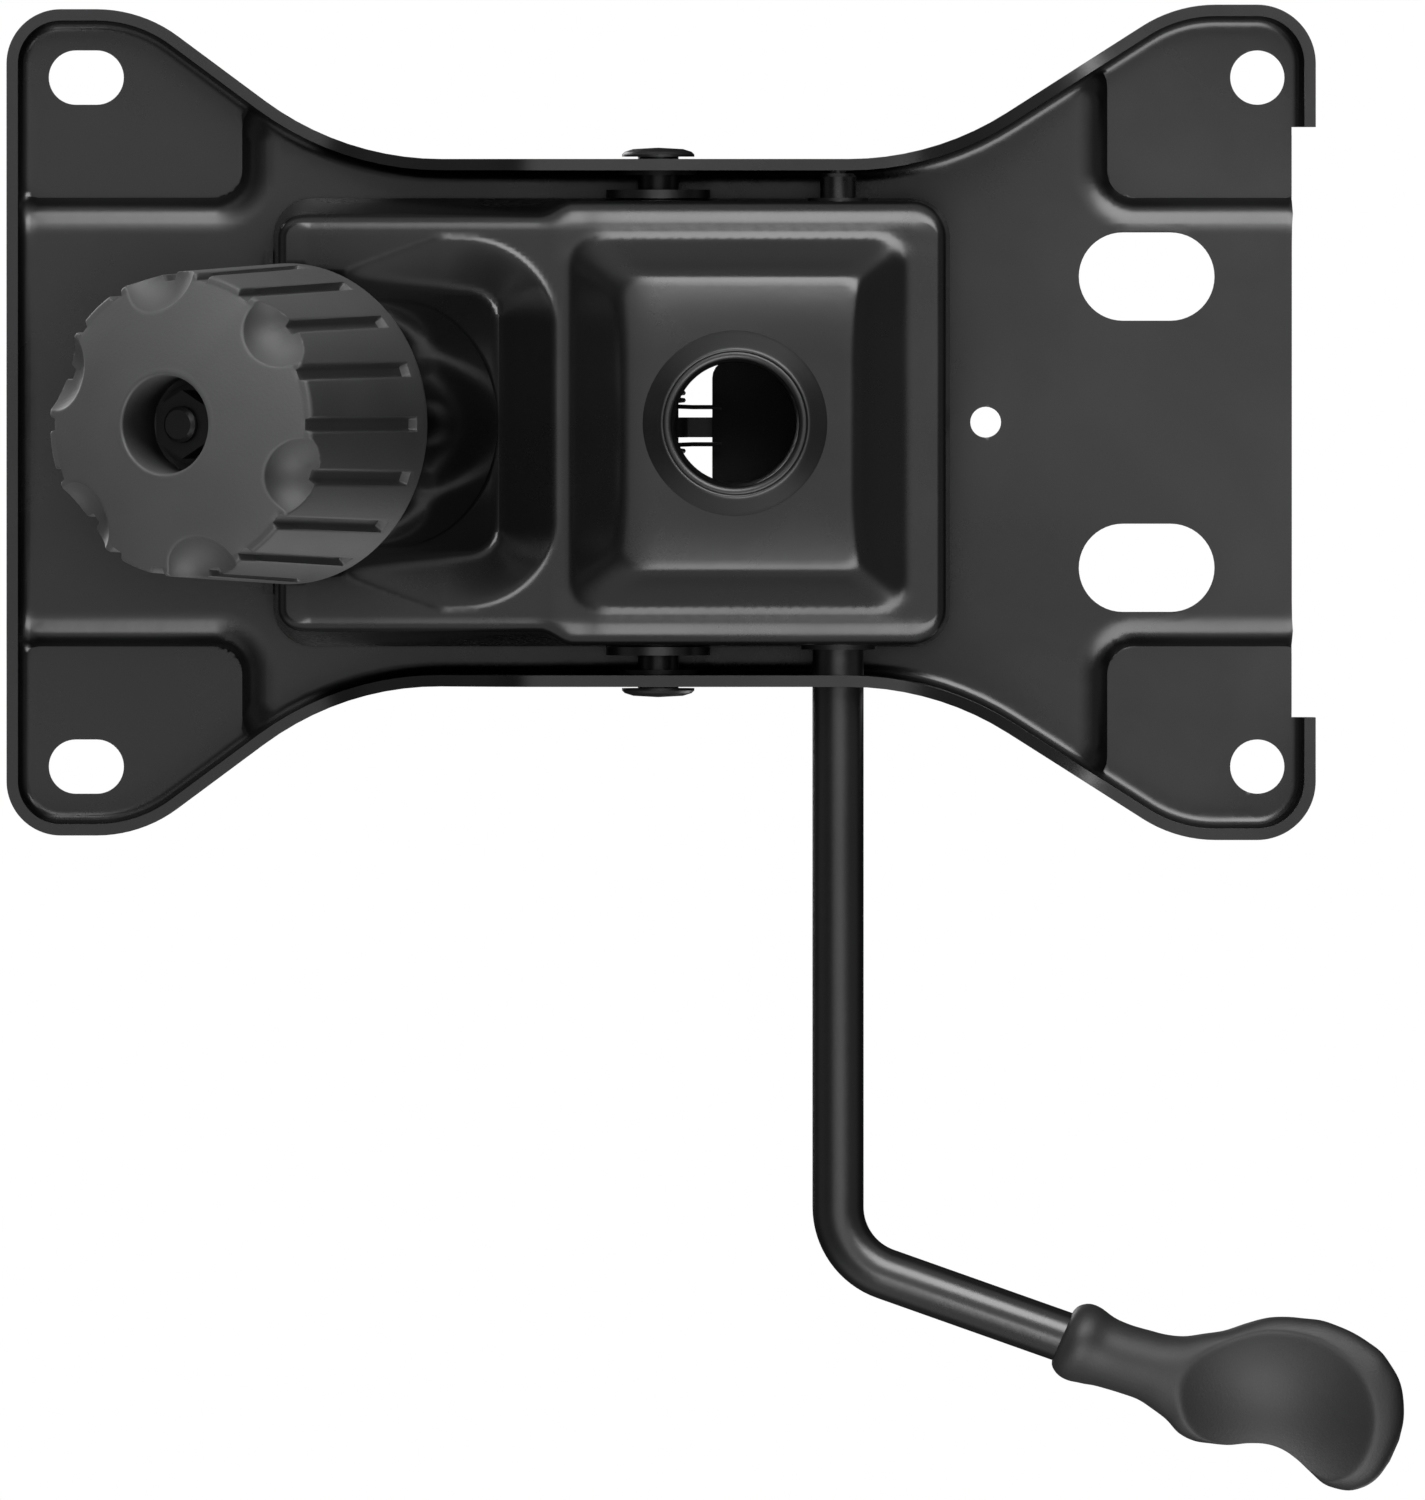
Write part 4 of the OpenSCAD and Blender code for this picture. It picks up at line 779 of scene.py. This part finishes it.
# Round pieces: a section of (radius, height) points turned about Z
def turned(section, steps, place=None):
    bm = bmesh.new()
    verts = [bm.verts.new((r * mm, 0, z * mm)) for r, z in section]
    edges = [bm.edges.new((verts[i], verts[i + 1])) for i in range(len(verts) - 1)]
    edges.append(bm.edges.new((verts[-1], verts[0])))
    bmesh.ops.spin(bm, geom=verts + edges, cent=(0, 0, 0), axis=(0, 0, 1), angle=2 * math.pi, steps=steps,
                   use_merge=True)
    bmesh.ops.remove_doubles(bm, verts=bm.verts[:], dist=1e-7)
    bmesh.ops.recalc_face_normals(bm, faces=bm.faces[:])
    if place is not None:
        bmesh.ops.transform(bm, matrix=place, verts=bm.verts[:])
    return bm


def rounded(section, radius, steps=3):  # a closed section with its corners rounded
    found = []
    count = len(section)
    for i, point in enumerate(section):
        p = Vector(point)
        a, b = Vector(section[i - 1]), Vector(section[(i + 1) % count])
        r = min(radius, (a - p).length * 0.45, (b - p).length * 0.45)
        u, v = (a - p).normalized(), (b - p).normalized()
        for k in range(steps + 1):
            t = k / steps
            found.append((p + u * r * (1 - t) ** 2 + v * r * t * t)[:])
    return found


collarSection = [(16.5, 3.4), (15.75, 0.9), (15.75, 0.35), (15.9, 0.1), (16.2, 0.02), (16.5, 0.12),
                 (16.85, 0.36), (17.3, 0.7), (19.7, 2.55), (20.2, 2.92), (20.7, 3.4)]
makePiece("rolledCollar", turned(collarSection, 128), "housing", finish["bush_dark"],
          "housing_pan")
bushSection = [(16.45, 1.0), (15.7, 0.55), (15.2, 0.42), (14.7, 0.5), (14.3, 0.78), (14.02, 1.25),
               (13.9, 2.0), (13.25, 40.0), (16.45, 40.0)]
makePiece("taperBush", turned(bushSection, 128), "housing", finish["bush_dark"], "taper_bush")

# Tension adjuster: sleeve, knob and nut on the axis that leans 30 degrees to the front
sleeve = {"outer": 27.5, "inner": 25.5, "top": -0.05, "end": -46.0, "edge": 0.4, "seatZ": 13.5,
          "seatAhead": 6.2}
adjusterZ = (sleeve["seatZ"] - sleeve["seatAhead"] * pan["slant"]) * mm
adjuster = Matrix.Translation((0, pan["boltY"] * mm, adjusterZ)) @ Matrix.Rotation(-math.pi / 6, 4, "X")
sleeveSection = rounded([(sleeve["outer"], sleeve["top"]), (sleeve["outer"], sleeve["end"]),
                         (sleeve["inner"], sleeve["end"]), (sleeve["inner"], sleeve["top"])], sleeve["edge"])
makePiece("sleeveTube", turned(sleeveSection, 160, adjuster), "housing", finish["sleeve_gloss"],
          "spring_sleeve")
knob = {"start": 43.4, "end": 91.4, "face": 33.5, "rim": 35.25, "crown": 7.5, "recess": 10.8, "recessZ": 84.0,
        "web": 76.0, "cavity": 29.0, "bore": 4.1, "grooves": 18, "grooveHalf": 1.5, "grooveDepth": 1.7,
        "grooveEnd": 5.0, "scallops": 6, "scallopTurn": 50.4, "scallopRadius": 10.5, "scallopOut": 2.0,
        "scallopDown": 4.5, "faceEdge": 1.5, "faceDrop": 1.3, "lip": 0.8, "bottom": 1.0, "inside": 0.6,
        "foot": 3}


def knobSection():  # from the recess's floor over the crowned face and down the side into the cavity
    k = knob
    edge = k["face"] - k["faceEdge"]
    ball = (edge * edge + k["crown"] ** 2) / (2 * k["crown"])
    crownZ = -k["end"] - k["crown"] + ball
    lipZ = crownZ - math.sqrt(ball ** 2 - k["recess"] ** 2)
    floorZ, webZ = -k["recessZ"], -k["web"]
    sideZ, startZ = -k["end"] + k["faceDrop"], -k["start"]
    found = [(k["bore"], floorZ), (k["recess"] - 0.8, floorZ), (k["recess"] - 0.2, floorZ - 0.3),
             (k["recess"], floorZ - k["bottom"])]
    found += [(k["recess"], blendTo(floorZ - k["bottom"], lipZ + k["lip"], t / 5)) for t in range(1, 6)]
    for degrees in (30, 60, 90):
        w = math.radians(degrees)
        found.append((k["recess"] + k["lip"] * (1 - math.cos(w)), lipZ + k["lip"] - k["lip"] * math.sin(w)))
    for t in range(1, 33):
        r = blendTo(k["recess"] + k["lip"], edge, t / 32)
        found.append((r, crownZ - math.sqrt(ball ** 2 - r * r)))
    for degrees in (-60, -45, -30, -15, 0):
        w = math.radians(degrees)
        found.append((edge + k["faceEdge"] * math.cos(w), sideZ + k["faceEdge"] * math.sin(w)))
    found += [(blendTo(k["face"], k["rim"], t / 48), blendTo(sideZ, startZ - 1.0, t / 48))
              for t in range(1, 49)]
    found += [(k["rim"] - 0.3, startZ - 0.3), (k["rim"] - 1.0, startZ), (k["cavity"] + k["inside"], startZ),
              (k["cavity"], startZ - k["inside"])]
    found += [(k["cavity"], blendTo(startZ - k["inside"], webZ + k["foot"], t / 4)) for t in range(1, 5)]
    found += [(k["cavity"] - k["foot"], webZ), (k["bore"], webZ)]
    return found


def buildKnob():  # cuts the grooves down the side and the scallops into the rim of the face
    k = knob
    bm = turned(knobSection(), 648)
    pitch = 2 * math.pi / k["grooves"]
    grooveFrom = k["start"] + k["grooveEnd"]
    balls = []
    for i in range(k["scallops"]):
        w = math.radians(k["scallopTurn"] + 360 * i / k["scallops"])
        out = k["face"] + k["scallopOut"]
        balls.append(Vector((math.cos(w) * out, math.sin(w) * out, -k["end"] - k["scallopDown"])))
    for v in bm.verts:
        co = v.co / mm
        r = math.hypot(co.x, co.y)
        onSide = r > k["cavity"] + 1.0 and -co.z > k["start"] + 0.5
        if r <= k["recess"] + 1 or not (onSide or -co.z > k["end"] - 4):
            continue
        off = abs(math.atan2(co.y, co.x) % pitch - pitch / 2) * r
        run = smoothStep(grooveFrom - 0.3, grooveFrom + 0.3, -co.z)
        share = (1 - smoothStep(k["grooveHalf"] - 0.3, k["grooveHalf"] + 0.25, off)) * run
        floorR = blendTo(k["rim"], k["face"], clamp((-co.z - k["start"]) / 48)) - k["grooveDepth"]
        if share > 0 and r > floorR:
            co -= Vector((co.x, co.y, 0)).normalized() * (r - floorR) * share
        for ball in balls:
            gap = (co - ball).length
            if gap < k["scallopRadius"] + 1.0:
                away = smoothMax(gap, k["scallopRadius"], 0.5)
                co = ball + (co - ball) * (away / max(gap, 1e-6))
        v.co = co * mm
    bmesh.ops.transform(bm, matrix=adjuster, verts=bm.verts[:])
    return bm


knobPiece = makePiece("knobShell", buildKnob(), "knob", finish["knob_matte"], "tension_knob")
print("knob made:", len(knobPiece.data.polygons), "faces")


# Lever: bent rod with a reduced tip, and the moulded grip
def buildRod():
    g = lever
    leaving = math.radians(g["bendOut"])
    turn = math.pi / 2 - leaving
    reach = g["bendR"] * math.tan(turn / 2)
    straight = g["bendX"] - reach
    section = [(56.9, 1.75), (55.0, 1.75), (55.0, 3.3), (54.3, g["tip"]), (g["shoulderX"] + 0.2, g["tip"]),
               (g["shoulderX"] + 0.1, 5.3), (g["shoulderX"] - 0.4, g["rod"])]
    section += [(x, g["rod"]) for x in (0.0, -60.0, -120.0, -straight)]
    bm = bmesh.new()
    bmesh.ops.create_circle(bm, cap_ends=True, segments=48, radius=section[0][1], matrix=ontoX(section[0][0]))
    edges = bm.edges[:]
    for x, r in section[1:]:
        verts, edges = growRing(bm, edges)
        for v in verts:
            flat = Vector((v.co.y, v.co.z)).normalized()
            v.co = (x, flat.x * r, flat.y * r)
    spun = bmesh.ops.spin(bm, geom=edges, cent=(-straight, g["bendR"], 0), axis=(0, 0, 1), angle=-turn,
                          steps=16)
    edges = [e for e in spun["geom_last"] if isinstance(e, bmesh.types.BMEdge)]
    out = Vector((-math.sin(leaving), math.cos(leaving), 0))
    first, inGrip = 20.0, 12.0
    for length in (first, g["gripStart"] + inGrip - reach - first):
        verts, edges = growRing(bm, edges)
        bmesh.ops.translate(bm, vec=out * length, verts=verts)
    closeUp(bm, edges, 1e-5)
    bmesh.ops.translate(bm, vec=(0, g["y"], g["z"]), verts=bm.verts[:])
    toMetres(bm)
    return bm


rodPiece = makePiece("leverRod", buildRod(), "lever", finish["rod_satin"], "lever_rod")
rodPiece.data.set_sharp_from_angle(angle=math.radians(40))

# Grip: its stations in millimetres are distance along it, middle, half width and half thickness
grip = {
    "lean": 24.0, "tip": 76.2, "press": 0.935, "dishU": 48.0, "dishV": -3.0, "dishFloor": -1.6,
    "dishAlong": 0.0132, "dishAcross": 0.0190, "dishBlend": 0.7, "setBack": 2.0, "sides": 96,
    "collarStep": 0.2, "collarRings": 8, "step": 0.8, "tipFrom": 73, "tipRings": 9,
    "squareFrom": 14, "squareTo": 28, "squareWide": 0.92, "squareThick": 0.56, "stations": [
        (-6.4, -0.3, 5.9, 5.9), (-6.0, -0.3, 6.9, 6.9), (-5.0, -0.35, 7.9, 7.7), (-3.6, -0.4, 8.6, 8.4),
        (-2.0, -0.4, 8.85, 8.6), (-0.4, -0.4, 8.75, 8.4), (1.2, -0.4, 8.4, 7.9), (3.0, -0.4, 8.05, 7.4),
        (5.0, -0.6, 7.75, 7.1), (8.0, -0.9, 7.6, 6.9), (12.0, -1.4, 7.65, 6.8), (16.0, -1.85, 7.85, 6.7),
        (20.0, -2.2, 8.8, 6.6), (24.0, -2.9, 10.4, 6.5), (28.0, -3.3, 12.4, 6.45), (32.0, -4.9, 14.2, 6.4),
        (36.0, -6.9, 15.2, 6.4), (40.0, -8.5, 15.5, 6.4), (44.0, -10.2, 15.1, 6.4), (48.0, -11.5, 14.95, 6.4),
        (52.0, -11.85, 14.95, 6.35), (56.0, -11.5, 15.3, 6.3), (60.0, -10.6, 15.7, 6.2),
        (64.0, -9.55, 15.85, 6.0), (67.0, -8.8, 15.0, 5.7), (70.0, -8.15, 13.65, 5.2), (72.0, -7.7, 12.0, 4.7),
        (74.0, -7.1, 9.4, 3.9), (75.4, -6.8, 6.4, 2.8), (76.2, -6.7, 2.6, 1.3)],
}


def gripStation(u):  # a smooth curve through the stations
    rows = grip["stations"]
    i = clamp(bisect.bisect([row[0] for row in rows], u) - 1, 0, len(rows) - 2)
    a, b = rows[i], rows[i + 1]
    before, after = rows[max(i - 1, 0)], rows[min(i + 2, len(rows) - 1)]
    t = (u - a[0]) / (b[0] - a[0])
    found = []
    for k in (1, 2, 3):
        m0 = (b[k] - before[k]) / max(b[0] - before[0], 1e-6) * (b[0] - a[0])
        m1 = (after[k] - a[k]) / max(after[0] - a[0], 1e-6) * (b[0] - a[0])
        found.append((2 * t ** 3 - 3 * t * t + 1) * a[k] + (t ** 3 - 2 * t * t + t) * m0
                     + (3 * t * t - 2 * t ** 3) * b[k] + (t ** 3 - t * t) * m1)
    return found


def signedPower(value, power):
    return math.copysign(abs(value) ** power, value)


def buildGrip():
    g = grip
    places = [g["stations"][0][0] + k * g["collarStep"] for k in range(g["collarRings"])]
    while places[-1] < g["tipFrom"]:
        places.append(places[-1] + g["step"])
    places += [blendTo(places[-1], g["tip"], math.sin(math.pi / 2 * k / g["tipRings"]))
               for k in range(1, g["tipRings"] + 1)]
    bm = bmesh.new()
    bmesh.ops.create_circle(bm, cap_ends=True, segments=g["sides"], radius=1.0)
    ring, edges = bm.verts[:], bm.edges[:]
    angle = {v: math.atan2(v.co.y, v.co.x) for v in ring}
    for i, u in enumerate(places):
        if i > 0:
            ring, edges = growRing(bm, edges)
            angle = {v: next(angle[other] for other in (e.other_vert(v) for e in v.link_edges)
                             if other in angle) for v in ring}
        middle, half, thick = gripStation(u)
        square = smoothStep(g["squareFrom"], g["squareTo"], u)
        for v in ring:
            c, h = math.cos(angle[v]), math.sin(angle[v])
            across = middle + half * signedPower(c, blendTo(1.0, g["squareWide"], square))
            rise = thick * signedPower(h, blendTo(1.0, g["squareThick"], square))
            if h < 0:
                dish = g["dishFloor"] + g["dishAlong"] * (u - g["dishU"]) ** 2
                dish += g["dishAcross"] * (across - g["dishV"]) ** 2
                rise = -smoothMin(-rise, dish, g["dishBlend"])
            v.co = (-across, g["tip"] - (g["tip"] - u) * g["press"], rise)
    closeUp(bm, edges, 1e-4)
    leaving = math.radians(lever["bendOut"])
    start = lever["gripStart"] - g["setBack"]
    place = Matrix.Translation((-lever["bendX"] - start * math.sin(leaving),
                                lever["y"] + start * math.cos(leaving), lever["z"]))
    place = place @ Matrix.Rotation(math.radians(g["lean"]), 4, "Z")
    bmesh.ops.transform(bm, matrix=place, verts=bm.verts[:])
    toMetres(bm)
    return bm


gripPiece = makePiece("gripPaddle", buildGrip(), "lever", finish["grip_matte"], "lever_grip")
print("grip made:", len(gripPiece.data.polygons), "faces")

# Finishes of the CAD nodes that stay in view
kept = {
    "bush_brace": "steel_paint", "pivot_axle": "steel_paint", "axle_washers": "washer_dark",
    "lever_bush_near": "nylon_black", "lever_bush_far": "nylon_black", "front_bumpers": "rubber_black",
    "spring_seat": "zinc_dark", "tension_spring": "spring_dark", "return_spring": "spring_dark",
    "spring_spacer": "nylon_black", "bolt_saddle": "steel_paint", "flange_bushes": "nylon_black",
    "tension_bolt": "zinc_dark", "spring_cap": "zinc_dark", "knob_nut": "zinc_dark",
    "actuator_paddle": "paddle_black", "rod_clip": "spring_dark",
}
for nodeName, finishName in kept.items():
    for materialSlot in bpy.data.objects[nodeName].material_slots:
        materialSlot.material = finish[finishName]
print("finishes given to", len(kept), "nodes")

bpy.context.scene.view_settings.view_transform = "Standard"
